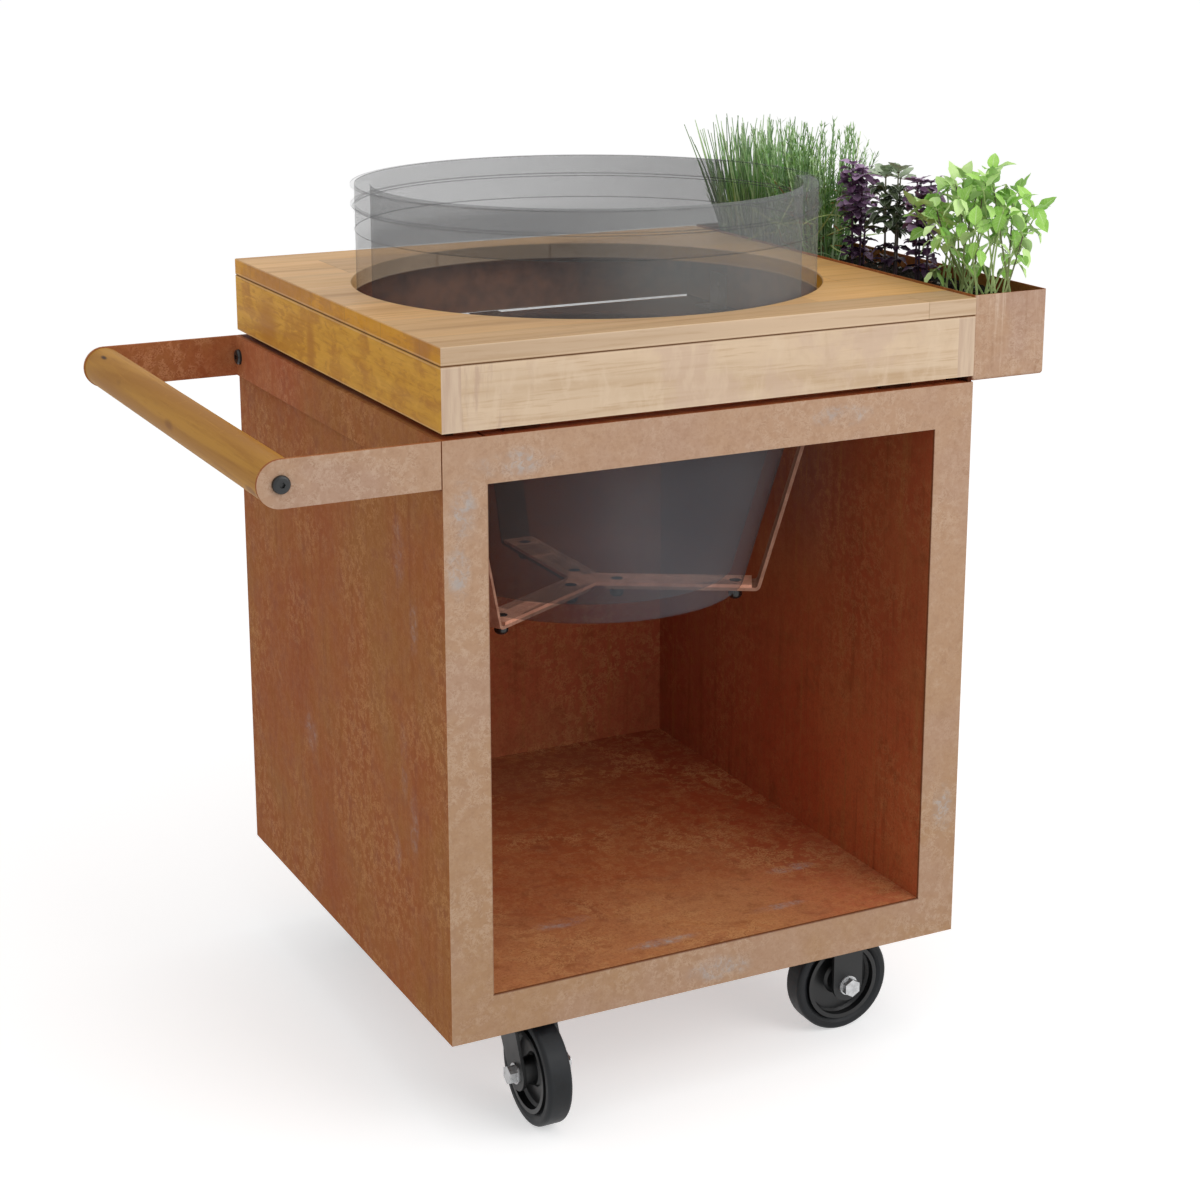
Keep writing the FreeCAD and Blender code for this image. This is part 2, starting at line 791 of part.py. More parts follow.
def mounting_plate():
    z = (caster_plate_underside, caster_height)
    plate = block(centred(0, caster_plate_width), centred(0, caster_plate_length), z)
    upright = [e for e in plate.Edges if e.BoundBox.ZLength > caster_plate_thickness / 2]
    return plate.makeFillet(caster_plate_corner_round, upright)


def tangent_point(point, centre, radius, side):
    """Where a line from a point touches a circle, on its left (1) or right (-1) seen from the centre."""
    away = point - centre
    angle = math.atan2(away.y, away.x) + side * math.acos(radius / away.Length)
    return (centre.x + radius * math.cos(angle), centre.y + radius * math.sin(angle))


def fork(crown_top, trail, shoulder):
    """Folded fork: a crown over the wheel and two legs that narrow to the axle."""
    low = wheel_radius - fork_tip_radius
    half = fork_outer_half
    path = [(half, low), (half, crown_top), (-half, crown_top), (-half, low)]
    y = (-trail - fork_tip_radius, max(shoulder, fork_tip_radius))
    channel = along_y(folded_section(path, fork_thickness, fork_bend_radius), y)
    axle = Vector(-trail, wheel_radius, 0)
    back = tangent_point(Vector(shoulder, crown_top, 0), axle, fork_tip_radius, -1)
    front = tangent_point(Vector(-shoulder, crown_top, 0), axle, fork_tip_radius, 1)
    crown = [(-shoulder, crown_top), (shoulder, crown_top)]
    outline = along_x(polygon(crown + [back, (-trail, wheel_radius), front]), both(fork_outer_half))
    tip_start = Vector(-fork_outer_half, -trail, wheel_radius)
    outline = outline.fuse(rod(tip_start, RIGHT, fork_tip_radius, 2 * fork_outer_half))
    shape = channel.common(outline)
    return shape.cut(rod(tip_start, RIGHT, axle_radius, 2 * fork_outer_half)).removeSplitter()


def fixed_fork():
    """Rigid caster housing: the fork is welded to its mounting plate."""
    return fork(caster_plate_underside, 0, fork_tip_radius).fuse(mounting_plate()).removeSplitter()


def swivel_fork():
    shape = fork(swivel_crown_top, caster_trail, fork_shoulder)
    pin_hole = rod(UP * crown_underside, UP, king_pin_radius + running_clearance, fork_thickness)
    return shape.cut(pin_hole)


def swivel_plate():
    pin_hole = rod(UP * caster_plate_underside, UP, king_pin_radius, caster_plate_thickness)
    return mounting_plate().cut(pin_hole)


def swivel_race():
    """Ball race housing under the plate, and the king pin that carries the fork's crown."""
    low = swivel_crown_top + race_gap
    top = caster_plate_underside
    neck = race_radius - race_chamfer
    outline = [(king_pin_radius, low), (neck, low), (race_radius, low + race_chamfer)]
    outline += [(race_radius, top - race_chamfer / 2), (neck, top), (king_pin_radius, top)]
    head_top = crown_underside - race_gap
    pin = rod(UP * head_top, -UP, king_pin_head_radius, king_pin_head_height)
    pin = pin.makeChamfer(king_pin_head_height / 3, flat_edges(pin, head_top - king_pin_head_height))
    pin = pin.fuse(rod(UP * head_top, UP, king_pin_radius, caster_height - head_top))
    return [turned(outline), pin]


def on_axle(shape, trail):
    """Lays a wheel piece drawn about Z onto the axle along X."""
    return placed(shape, Vector(0, -trail, wheel_radius), RIGHT)


def rim(trail):
    """Deep dished wheel centre with a hub, a thin web and a broad lip."""
    bore = bush_radius + running_clearance
    hub_end = hub_width / 2
    web = rim_web_thickness / 2
    lip = rim_lip_width / 2
    barrel = rim_radius - rim_lip_thickness
    half = [(bore, hub_end), (hub_radius - hub_taper, hub_end), (hub_radius, web + hub_taper)]
    half += [(hub_radius + hub_taper, web), (barrel - hub_taper, web), (barrel, web + hub_taper)]
    half += [(barrel, lip), (rim_radius, lip)]
    other = [(radius, -z) for radius, z in reversed(half)]
    return on_axle(turned(half + other), trail)


def tyre(trail):
    """Solid rubber tyre with round shoulders and a sloping step down to the rim."""
    half_tread = tyre_width / 2
    crest = rim_radius + tyre_crest
    half = [(rim_radius, half_tread - tyre_inner_step), (crest, half_tread), (wheel_radius, half_tread)]
    other = [(radius, -z) for radius, z in reversed(half)]
    ring = turned(half + other)
    flat = flat_edges(ring, half_tread) + flat_edges(ring, -half_tread)
    shoulders = [e for e in flat if e.BoundBox.XMax > wheel_radius - 0.01]
    return on_axle(ring.makeFillet(tyre_shoulder_round, shoulders), trail)


def axle_set(trail):
    """Axle bolt, nut and washers, and the bush that the wheel turns on."""
    seat = fork_outer_half
    nut_seat = seat + washer_thickness
    bolt_head = hexagon(axle_nut_flats, axle_nut_height)
    bolt_head.translate(-UP * (nut_seat + axle_nut_height))
    shank_length = 2 * nut_seat + axle_nut_height + axle_stub
    bolt = bolt_head.fuse(rod(-UP * nut_seat, UP, axle_radius, shank_length))
    nut = hex_nut(axle_nut_flats, axle_nut_height, axle_radius)
    nut.translate(UP * nut_seat)
    washer = tube(washer_radius, axle_radius, washer_thickness)
    outer_washer = washer.copy()
    outer_washer.translate(UP * seat)
    inner_washer = washer.copy()
    inner_washer.translate(-UP * nut_seat)
    bush = tube(bush_radius, axle_radius, 2 * fork_inner_half)
    bush.translate(-UP * fork_inner_half)
    return [on_axle(piece, trail) for piece in (bolt, nut, outer_washer, inner_washer, bush)]


# Building and writing

def write_cabinet(caster_holes, ledge_screw_holes):
    write("front_frame", [front_frame()])
    write("left_side_panel", [side_panel(-1, side_bolt_holes())])
    write("right_side_panel", [side_panel(1, [])])
    write("back_panel", [back_panel()])
    write("left_bay_wall", [bay_wall(-1, ledge_screw_holes)])
    write("right_bay_wall", [bay_wall(1, ledge_screw_holes)])
    write("bay_floor", [bay_floor()])
    write("front_top_rail", [front_top_rail()])
    write("back_top_angle", [back_top_angle()])
    write("left_base_rail", [base_rail(-1, caster_holes)])
    write("right_base_rail", [base_rail(1, caster_holes)])
    write("hanger_plate", [hanger_plate(ledge_screw_holes)])


def write_worktop(ledge_screw_holes, apron_screw_holes, screws):
    side_x = (apron_inner_x, half_width)
    write("apron_left", [cut_all(mirrored_x(apron_rail(side_x, both(half_depth))), apron_screw_holes)])
    write("apron_right", [cut_all(apron_rail(side_x, both(half_depth)), apron_screw_holes)])
    write("apron_front", [apron_rail(both(apron_inner_x), (-half_depth, -apron_inner_y))])
    write("apron_back", [apron_rail(both(apron_inner_x), (apron_inner_y, half_depth))])
    write("worktop_slab", [worktop_slab()])
    write("spacer_pads", spacer_pads())
    write("worktop_brackets", worktop_brackets(ledge_screw_holes + apron_screw_holes))
    write("top_screws", screws)


def write_cradle_and_bowl():
    write("cradle_plate", [cradle_plate()])
    for number, angle in enumerate(arm_angles(), 1):
        write("hanger_strap_" + str(number), [hanger_strap(angle)])
    write("cradle_bolts", at_each_bolt(cradle_bolt()))
    write("cradle_nuts", at_each_bolt(cradle_nut()))
    write("cooker_bowl", [cooker_bowl()])
    write("bowl_bands", bowl_bands())


def write_handle():
    write("handle_bracket", [handle_bracket()])
    write("handle_dowel", [handle_dowel()])
    write("handle_bolts", handle_bolts())


def write_planter(ledge_screw_holes):
    write("planter_tray", [planter_tray(ledge_screw_holes)])
    write("soil", [soil()])
    for name, clumps in herbs().items():
        write(name, clumps)


def write_casters():
    bolts = []
    for end_name, end in (("front", -1), ("back", 1)):
        for side_name, side in (("left", -1), ("right", 1)):
            name = end_name + "_" + side_name
            trail = caster_trail if side < 0 else 0
            holes = caster_bolt_holes(side, end)
            bolts += caster_bolts(side, end)
            if side < 0:
                write(name + "_caster_plate", [cut_all(set_caster(swivel_plate(), side, end), holes)])
                write(name + "_swivel_race", [set_caster(piece, side, end) for piece in swivel_race()])
                write(name + "_fork", [set_caster(swivel_fork(), side, end)])
            else:
                write(name + "_fork", [cut_all(set_caster(fixed_fork(), side, end), holes)])
            write(name + "_rim", [set_caster(rim(trail), side, end)])
            write(name + "_tyre", [set_caster(tyre(trail), side, end)])
            write(name + "_axle", [set_caster(piece, side, end) for piece in axle_set(trail)])
    write("caster_bolts", bolts)


def main():
    os.makedirs("parts", exist_ok=True)
    corners = [(side, end) for side in (-1, 1) for end in (-1, 1)]
    caster_holes = [hole for side, end in corners for hole in caster_bolt_holes(side, end)]
    down_places = [bracket_down_screw(side, y) for side, y in bracket_places()]
    down_places += [(place, UP) for place in planter_screw_places()]
    side_places = [bracket_side_screw(side, y) for side, y in bracket_places()]
    head = (small_screw_head_radius, small_screw_head_height, small_screw_radius)
    down_screw = button_screw(*head, small_screw_length)
    side_screw = button_screw(*head, wood_screw_length)
    screws = [placed(down_screw, place, way) for place, way in down_places]
    screws += [placed(side_screw, place, way) for place, way in side_places]
    down_holes = [rod(place, -way, small_screw_radius, small_screw_length) for place, way in down_places]
    side_holes = [rod(place, -way, small_screw_radius, wood_screw_length) for place, way in side_places]
    write_cabinet(caster_holes, down_holes)
    write_worktop(down_holes, side_holes, screws)
    write_cradle_and_bowl()
    write_handle()
    write_planter(down_holes)
    write_casters()


main()
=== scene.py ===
import bpy
import math
import random
from mathutils import Matrix, Vector


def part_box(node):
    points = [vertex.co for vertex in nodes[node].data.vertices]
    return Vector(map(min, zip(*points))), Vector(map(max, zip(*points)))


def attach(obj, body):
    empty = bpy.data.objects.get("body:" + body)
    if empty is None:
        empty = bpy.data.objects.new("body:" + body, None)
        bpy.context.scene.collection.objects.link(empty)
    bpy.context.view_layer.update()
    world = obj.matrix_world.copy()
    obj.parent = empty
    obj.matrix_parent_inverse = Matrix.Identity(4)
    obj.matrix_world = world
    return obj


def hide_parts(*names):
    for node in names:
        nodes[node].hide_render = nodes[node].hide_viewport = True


# Looks of a grill table: steel cabinet, wooden worktop, ghosted cooker bowl and a planter of herbs.
# Metres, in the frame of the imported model: the open front faces -Y and the planter is at +X.

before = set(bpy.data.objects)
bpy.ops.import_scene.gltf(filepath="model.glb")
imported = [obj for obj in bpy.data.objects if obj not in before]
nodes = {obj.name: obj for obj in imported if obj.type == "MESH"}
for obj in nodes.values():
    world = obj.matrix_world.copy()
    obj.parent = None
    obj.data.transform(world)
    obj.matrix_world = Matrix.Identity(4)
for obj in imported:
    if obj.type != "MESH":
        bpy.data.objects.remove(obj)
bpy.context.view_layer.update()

# The photograph's viewpoint
camera_place = (-1.1697, -2.4104, 1.3359)
camera_yaw = 0.4679
camera_pitch = -0.2483
camera_lens = 69.59
camera_shift = -0.10

# Lighting. The square lights go by their place, size and power
world_strength = 0.66
light_target = (0.0, 0.0, 0.5)
key_light = ((1.5, -2.9, 2.3), 2.4, 44.0)
top_light = ((0.2, -0.4, 3.4), 2.6, 9.0)
floor_half = 30.0
floor_lift = 0.48

# Heights and places of the table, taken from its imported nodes
front_low, front_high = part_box("front_frame")
slab_low, slab_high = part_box("worktop_slab")
bowl_low, bowl_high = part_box("cooker_bowl")
bowl_axis = ((bowl_low[0] + bowl_high[0]) / 2, (bowl_low[1] + bowl_high[1]) / 2)
front_plane = front_low[1]
bay_floor_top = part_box("bay_floor")[1][2]
bay_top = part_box("handle_bracket")[0][2]
apron_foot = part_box("apron_front")[0][2]
cad_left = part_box("left_side_panel")[0][0]

# Colours, in linear light
rust_dark = (0.245, 0.064, 0.02)
rust_red = (0.345, 0.096, 0.03)
rust_brown = (0.368, 0.12, 0.036)
rust_olive = (0.365, 0.145, 0.043)
rust_line = (0.64, 0.33, 0.135)
bay_tint = (1.04, 0.76, 0.92)
# Painted light on the bay floor: lighter near the opening and darker at the back
floor_far_shade = (0.4, 0.098, 0.032)
floor_near_lit = (0.52, 0.215, 0.088)
# Painted sheen on the front sheets: a pale veil for reflected light, with mottling and specks
sheen_high = (0.492, 0.31, 0.202)
sheen_low = (0.435, 0.262, 0.148)
sheen_rosy = (0.465, 0.3, 0.22)
sheen_line = (0.68, 0.52, 0.4)
sheen_spot = (0.345, 0.19, 0.11)
scuff_grey = (0.43, 0.44, 0.45)
# Painted shade in thin dark lines along edges of the steel
edge_shade = (0.13, 0.04, 0.018)
wood_top = (0.56, 0.345, 0.165)
wood_gold = (0.77, 0.41, 0.115)
# Paler front faces of the wood, partly a painted sheen for reflected light
slab_front_sheen = (0.61, 0.445, 0.3)
wood_front_sheen = (0.665, 0.5, 0.345)
wood_pink = (0.61, 0.44, 0.33)
wood_side = (0.71, 0.362, 0.042)
slab_side = (0.67, 0.3, 0.012)
wood_figure = (0.48, 0.19, 0.026)
# Painted shade in the seam under the slab
seam_shade = (0.15, 0.06, 0.018)
ghost_grey = (0.114, 0.116, 0.12)
# Painted light and shade on the see-through bowl: its lit side, and under the worktop its shaded and lit
# sides
ghost_lit = (0.245, 0.252, 0.25)
ghost_bay_shade = (0.046, 0.06, 0.07)
ghost_bay_lit = (0.112, 0.124, 0.138)
ghost_band = (0.15, 0.152, 0.156)
ghost_inner = (0.42, 0.4, 0.38)

# Directions round the bowl's axis, in degrees: the herbs, the viewer, and the side where the veil is densest
herb_side = 4.0
viewer_side = -117
dense_side = -62
# Cosine of half the sector in which the herbs stand behind the far wall
herb_edge = 0.94
# How fast the dense part of the far wall starts higher towards the front
veil_slope = 0.16

# Places where the painted sheen on the front is scuffed to a bluish grey: x, z and half sizes
front_scuffs = ((-0.264, 0.724, 0.02, 0.045), (-0.271, 0.66, 0.018, 0.04), (-0.205, 0.77, 0.06, 0.02),
                (0.045, 0.15, 0.055, 0.02), (0.343, 0.288, 0.02, 0.04), (0.188, 0.778, 0.05, 0.016))
# The same on the bay floor: x, y and half sizes
floor_scuffs = ((-0.015, -0.278, 0.06, 0.012), (0.15, -0.256, 0.05, 0.01), (-0.094, -0.182, 0.045, 0.016),
                (0.224, -0.167, 0.04, 0.014))
# The same on the left side: y, z and half sizes
side_scuffs = ((-0.185, 0.655, 0.022, 0.06), (-0.225, 0.585, 0.016, 0.05), (-0.19, 0.415, 0.014, 0.06),
               (-0.215, 0.35, 0.018, 0.05), (0.11, 0.35, 0.03, 0.035), (-0.165, 0.3, 0.014, 0.035))


# Node trees

class Value:
    """A node's output. Sums, differences, products and comparisons with it add a node."""

    def __init__(self, tree, socket):
        self.tree = tree
        self.socket = socket

    def __add__(self, other):
        return self.tree.math("ADD", self, other)

    def __sub__(self, other):
        return self.tree.math("SUBTRACT", self, other)

    def __rsub__(self, other):
        return self.tree.math("SUBTRACT", other, self)

    def __mul__(self, other):
        return self.tree.math("MULTIPLY", self, other)

    def __truediv__(self, other):
        return self.tree.math("DIVIDE", self, other)

    def __lt__(self, other):
        return self.tree.math("LESS_THAN", self, other)

    def __gt__(self, other):
        return self.tree.math("GREATER_THAN", self, other)

    def __abs__(self):
        return self.tree.math("ABSOLUTE", self)


class Tree:
    """Builds a node tree. Most methods add a node and return its output."""

    def __init__(self, owner):
        owner.use_nodes = True
        self.nodes = owner.node_tree.nodes
        self.links = owner.node_tree.links

    def feed(self, value, socket):
        """Links an output, or sets a plain number, vector or colour."""
        if isinstance(value, Value):
            self.links.new(value.socket, socket)
        elif isinstance(value, tuple) and len(value) == 3 and socket.type == "RGBA":
            socket.default_value = (*value, 1.0)
        else:
            socket.default_value = value

    def node(self, kind, inputs=None, output=0, **settings):
        """Inputs and the output go by their number or name."""
        node = self.nodes.new("ShaderNode" + kind)
        for name, value in settings.items():
            setattr(node, name, value)
        for name, value in (inputs or {}).items():
            self.feed(value, node.inputs[name])
        return Value(self, node.outputs[output])

    def math(self, operation, first, second=0.0):
        return self.node("Math", {0: first, 1: second}, operation=operation)

    def most(self, first, second):
        return self.math("MAXIMUM", first, second)

    def seen_directly(self):
        """1 for camera, glossy and transmission rays, and 0 for the light that falls on things."""
        camera, glossy, through = [self.node("LightPath", output="Is " + kind + " Ray")
                                   for kind in ("Camera", "Glossy", "Transmission")]
        return self.most(self.most(camera, glossy), through)


class Look(Tree):
    """Builds one material."""

    def __init__(self, name, roughness=0.5, metallic=0.0, specular=0.5):
        self.material = bpy.data.materials.new(name)
        super().__init__(self.material)
        self.surface = self.nodes["Principled BSDF"].inputs
        self.give("Roughness", roughness)
        self.give("Metallic", metallic)
        self.give("Specular IOR Level", specular)
        self.place = self.node("TexCoord", output="Object")
        self.x, self.y, self.z = [self.axis(number, self.place) for number in range(3)]

    def give(self, name, value):
        """Sets or links an input of the surface."""
        self.feed(value, self.surface[name])

    def axis(self, number, place):
        return self.node("SeparateXYZ", {0: place}, number)

    def scaled(self, scale, place):
        return self.node("Mapping", {"Vector": place, "Scale": scale})

    def shifted(self, offset):
        return self.node("VectorMath", {0: self.place, 1: offset}, operation="ADD")

    def joined(self, x, y, z):
        return self.node("CombineXYZ", {0: x, 1: y, 2: z})

    def dot(self, place, way):
        return self.node("VectorMath", {0: place, 1: way}, "Value", operation="DOT_PRODUCT")

    def noise(self, scale, detail=4.0, roughness=0.55, distortion=0.0, shift=None, stretch=None):
        """Noise at the place, which may be shifted and then scaled along each axis."""
        place = self.shifted(shift) if shift else self.place
        place = self.scaled(stretch, place) if stretch else place
        settings = {"Scale": scale, "Detail": detail, "Roughness": roughness, "Distortion": distortion}
        return self.node("TexNoise", {"Vector": place, **settings})

    def chance(self, place):
        """A random number that is the same wherever the place is the same."""
        return self.node("TexWhiteNoise", {"Vector": place}, "Value", noise_dimensions="3D")

    def spread(self, value, low, high, at_low=0.0, at_high=1.0):
        """Smooth step from at_low to at_high while value goes from low to high."""
        limits = {"From Min": low, "From Max": high, "To Min": at_low, "To Max": at_high, "Value": value}
        return self.node("MapRange", limits, interpolation_type="SMOOTHSTEP")

    def line(self, value, middle, width):
        """1 where value is near middle and 0 beyond width from it."""
        return self.spread(abs(value - middle), 0.0, width, 1.0, 0.0)

    def ramp(self, value, *stops):
        colour = self.node("ValToRGB", {"Fac": value})
        elements = colour.socket.node.color_ramp.elements
        while len(elements) < len(stops):
            elements.new(1.0)
        for element, (position, tone) in zip(elements, stops):
            element.position = position
            element.color = (*tone, 1.0)
        return colour

    def blend(self, amount, first, second, mode="MIX"):
        return self.node("Mix", {0: amount, 6: first, 7: second}, 2, data_type="RGBA", blend_type=mode,
                         clamp_factor=True)

    def layered(self, colour, *layers):
        """Lays tones over a colour. Each comes in, up to its amount, as its value goes from start to full."""
        for value, start, full, amount, tone in layers:
            colour = self.blend(self.spread(value, start, full, 0.0, amount), colour, tone)
        return colour

    def mixed(self, amount, first, second):
        """A number between two numbers."""
        return (1.0 - amount) * first + amount * second

    def tinted(self, amount, colour, tint):
        """The colour multiplied by a tint, as far as the amount says."""
        return self.blend(amount, colour, self.blend(1.0, colour, tint, "MULTIPLY"))

    def named(self, attribute):
        return self.node("Attribute", output="Fac", attribute_name=attribute)

    def normal(self):
        return self.node("NewGeometry", output="Normal")

    def facing(self, *way):
        """1 on faces that look in a direction and 0 on the faces turned away from it."""
        return self.spread(self.dot(self.normal(), way), 0.45, 0.85)

    def upright(self):
        """1 on upright faces and 0 on level ones, whichever way they look."""
        return self.spread(abs(self.axis(2, self.normal())), 0.9, 0.8)

    def near(self, centre, reach):
        """1 at a place, falling to 0 at its reach along each axis. A reach of 0 leaves that axis out."""
        away = self.shifted(tuple(-value for value in centre))
        scaled = self.scaled(tuple(1 / value if value else 0.0 for value in reach), away)
        distance = self.node("VectorMath", {0: scaled}, "Value", operation="LENGTH")
        return self.spread(distance, 0.25, 1.0, 1.0, 0.0)

    def toward(self, angle):
        """Cosine of the angle round the bowl's axis between this place and a direction."""
        flat = self.scaled((1.0, 1.0, 0.0), self.shifted((-bowl_axis[0], -bowl_axis[1], 0.0)))
        way = self.node("VectorMath", {0: flat}, operation="NORMALIZE")
        return self.dot(way, (math.cos(math.radians(angle)), math.sin(math.radians(angle)), 0.0))

    def bump(self, height, distance, strength=1.0):
        settings = {"Strength": strength, "Distance": distance, "Height": height}
        self.give("Normal", self.node("Bump", settings))


# Camera, lights and floor

def add_object(name, data):
    thing = bpy.data.objects.new(name, data)
    bpy.context.scene.collection.objects.link(thing)
    return thing


def add_camera():
    data = bpy.data.cameras.new("camera")
    data.lens = camera_lens
    data.sensor_width = 36.0
    data.shift_y = camera_shift
    camera = add_object("camera", data)
    camera.location = camera_place
    camera.rotation_euler = (math.pi / 2 + camera_pitch, 0.0, -camera_yaw)
    bpy.context.scene.camera = camera


def add_area_light(name, place, size, power):
    data = bpy.data.lights.new(name, "AREA")
    data.shape = "SQUARE"
    data.size = size
    data.energy = power
    light = add_object(name, data)
    light.location = place
    light.rotation_euler = (Vector(light_target) - Vector(place)).to_track_quat("-Z", "Y").to_euler()


def set_world():
    world = bpy.data.worlds.new("studio")
    bpy.context.scene.world = world
    tree = Tree(world)
    background = tree.nodes["Background"].inputs
    strength = {"To Min": world_strength, "To Max": 1.0, "Value": tree.seen_directly()}
    tree.feed((1, 1, 1), background["Color"])
    tree.feed(tree.node("MapRange", strength), background["Strength"])


def add_floor():
    mesh = bpy.data.meshes.new("floor")
    corners = [(x * floor_half, y * floor_half, 0) for x, y in ((-1, -1), (1, -1), (1, 1), (-1, 1))]
    mesh.from_pydata(corners, [], [(0, 1, 2, 3)])
    look = Look("pale_floor", roughness=0.9, specular=0.0)
    look.give("Base Color", (0.8, 0.8, 0.8))
    look.give("Emission Color", (1, 1, 1))
    look.give("Emission Strength", look.seen_directly() * floor_lift)
    mesh.materials.append(look.material)
    add_object("floor", mesh)


# Steel

def shade(material, *names):
    """Gives CAD nodes a material."""
    for name in names:
        slots = nodes[name].data.materials
        slots.clear()
        slots.append(material)


def curls(look):
    """Masks of light and dark hair lines that curl side by side in clusters."""
    cluster = look.noise(8, 4, 0.6, shift=(7, 2, 4))
    broken = look.noise(80, 2, shift=(2, 6, 3))
    amount = look.spread(cluster, 0.42, 0.62, 0.3, 1.0) * look.spread(broken, 0.42, 0.54)
    wide = look.noise(105, 3, 0.55, 1.2)
    narrow = look.noise(190, 2, 0.5, 1.3, shift=(5, 1, 8))
    light = look.most(look.line(wide, 0.5, 0.055), look.line(narrow, 0.5, 0.085))
    return light * amount, look.line(wide, 0.61, 0.065) * amount


def rust(look, streaks, inside, floor, back):
    """Brown of a rusted sheet: big soft patches, mottling, run-off streaks and fine curly lines. In the bay
    and on the back panel it also carries painted light and shade.
    """
    cloud = look.noise(5.0, 4, 0.6)
    mottle = look.noise(34, 6, 0.7)
    fine = look.noise(300, 3, 0.7)
    colour = look.ramp(cloud, (0.36, rust_red), (0.5, rust_brown), (0.64, rust_olive))
    if floor:
        # Painted light: the bay floor is lighter near the opening and darker and bluer towards the back
        lit_nearness = look.spread(look.y, front_plane + 0.36, front_plane + 0.02)
        lit_nearness = lit_nearness + look.spread(cloud, 0.35, 0.65, -0.25, 0.25)
        colour = look.blend(lit_nearness, floor_far_shade, floor_near_lit)
        colour = look.tinted(look.spread(look.y, 0.02, 0.28), colour, (0.72, 0.72, 0.86))
        colour = look.tinted(look.spread(look.x, 0.10, 0.26), colour, (1.0, 0.72, 0.74))
        veined = look.noise(14, 5, 0.7, 0.8, shift=(3, 8, 1))
        colour = look.layered(colour, (veined, 0.52, 0.66, 0.3, (0.56, 0.215, 0.07)),
                              (veined, 0.46, 0.32, 0.5, (0.3, 0.09, 0.042)))
        frayed = look.noise(52, 5, 0.75, 1.4, shift=(8, 1, 6))
        in_front = look.spread(look.y, front_plane + 0.5, front_plane + 0.1, 0.15, 1.0)
        amount = look.spread(frayed, 0.52, 0.62, 0.0, 0.3) * in_front
        colour = look.blend(amount, colour, (0.6, 0.25, 0.085))
    if inside:
        # Painted light and shade: the bay walls are lighter low down, darker and bluer towards the back, and
        # darker still behind the bowl near the top
        shade_behind_bowl = look.spread(look.y, -0.20, -0.02) * look.spread(look.z, 0.48, 0.66)
        colour = look.blend(1.0, colour, bay_tint, "MULTIPLY")
        colour = look.tinted(look.spread(look.z, 0.55, front_low[2] + 0.05), colour, (1.32, 1.24, 1.2))
        colour = look.tinted(look.spread(look.y, -0.12, 0.28), colour, (0.78, 0.9, 1.2))
        colour = look.tinted(shade_behind_bowl, colour, (0.62, 1.0, 1.9))
    # Painted light: the back panel's face towards the front is lighter and bluer
    if back:
        colour = look.tinted(look.facing(0, -1, 0), colour, (1.22, 1.0, 1.45))
    layers = [(mottle, 0.50, 0.30, 0.50, rust_dark), (mottle, 0.52, 0.72, 0.35, rust_olive)]
    if streaks:
        streak = look.noise(1.0, 5, 0.65, stretch=(75, 75, 3.2))
        layers += [(streak, 0.50, 0.72, streaks, rust_dark), (streak, 0.48, 0.28, streaks, rust_olive)]
    colour = look.layered(colour, *layers, (fine, 0.55, 0.32, 0.32, rust_dark))
    light, dark = curls(look)
    colour = look.blend(dark * 0.4, colour, rust_dark)
    drawn = 0.24 if inside else 0.7 if floor else 0.45
    return look.blend(light * drawn, colour, rust_line), mottle, fine


def painted_sheen(look, rosy, brushed):
    """Painted sheen on the front sheets: a pale veil for reflected light, more orange towards the ground."""
    mottle = look.noise(48, 6, 0.75, shift=(1, 1, 9))
    rose = look.noise(7, 4, shift=(3.1, 1.7, 5.3))
    speck = look.noise(210, 3, 0.7, shift=(6, 2, 5))
    colour = look.blend(look.spread(look.z, front_low[2], front_high[2]), sheen_low, sheen_high)
    layers = [(rose, 0.44, 0.62, rosy, sheen_rosy), (mottle, 0.50, 0.30, 0.34, sheen_spot),
              (mottle, 0.52, 0.72, 0.22, sheen_line), (speck, 0.54, 0.34, 0.24, sheen_spot)]
    if brushed:
        brush = look.noise(1.0, 4, 0.65, stretch=(130, 130, 6))
        layers += [(brush, 0.52, 0.72, brushed, sheen_line), (brush, 0.48, 0.28, brushed, sheen_spot)]
    colour = look.layered(colour, *layers)
    light, dark = curls(look)
    return look.blend(light * 0.3, look.blend(dark * 0.4, colour, sheen_spot), sheen_line)


def scuffed(look, colour, places, strength):
    """Broken bluish-grey rubs at given places, as centre and reach."""
    if not places:
        return colour
    total = look.near(*places[0])
    for place in places[1:]:
        total = look.most(total, look.near(*place))
    broken = look.noise(95, 4, 0.65, 1.0, shift=(1, 9, 2))
    soft = look.spread(look.noise(24, 3, shift=(4, 4.4, 8.6)), 0.38, 0.56, 0.2, 1.0)
    amount = look.spread(broken, 0.44, 0.64, 0.15 * strength, 0.6 * strength) * soft
    return look.blend(total * amount, colour, scuff_grey)


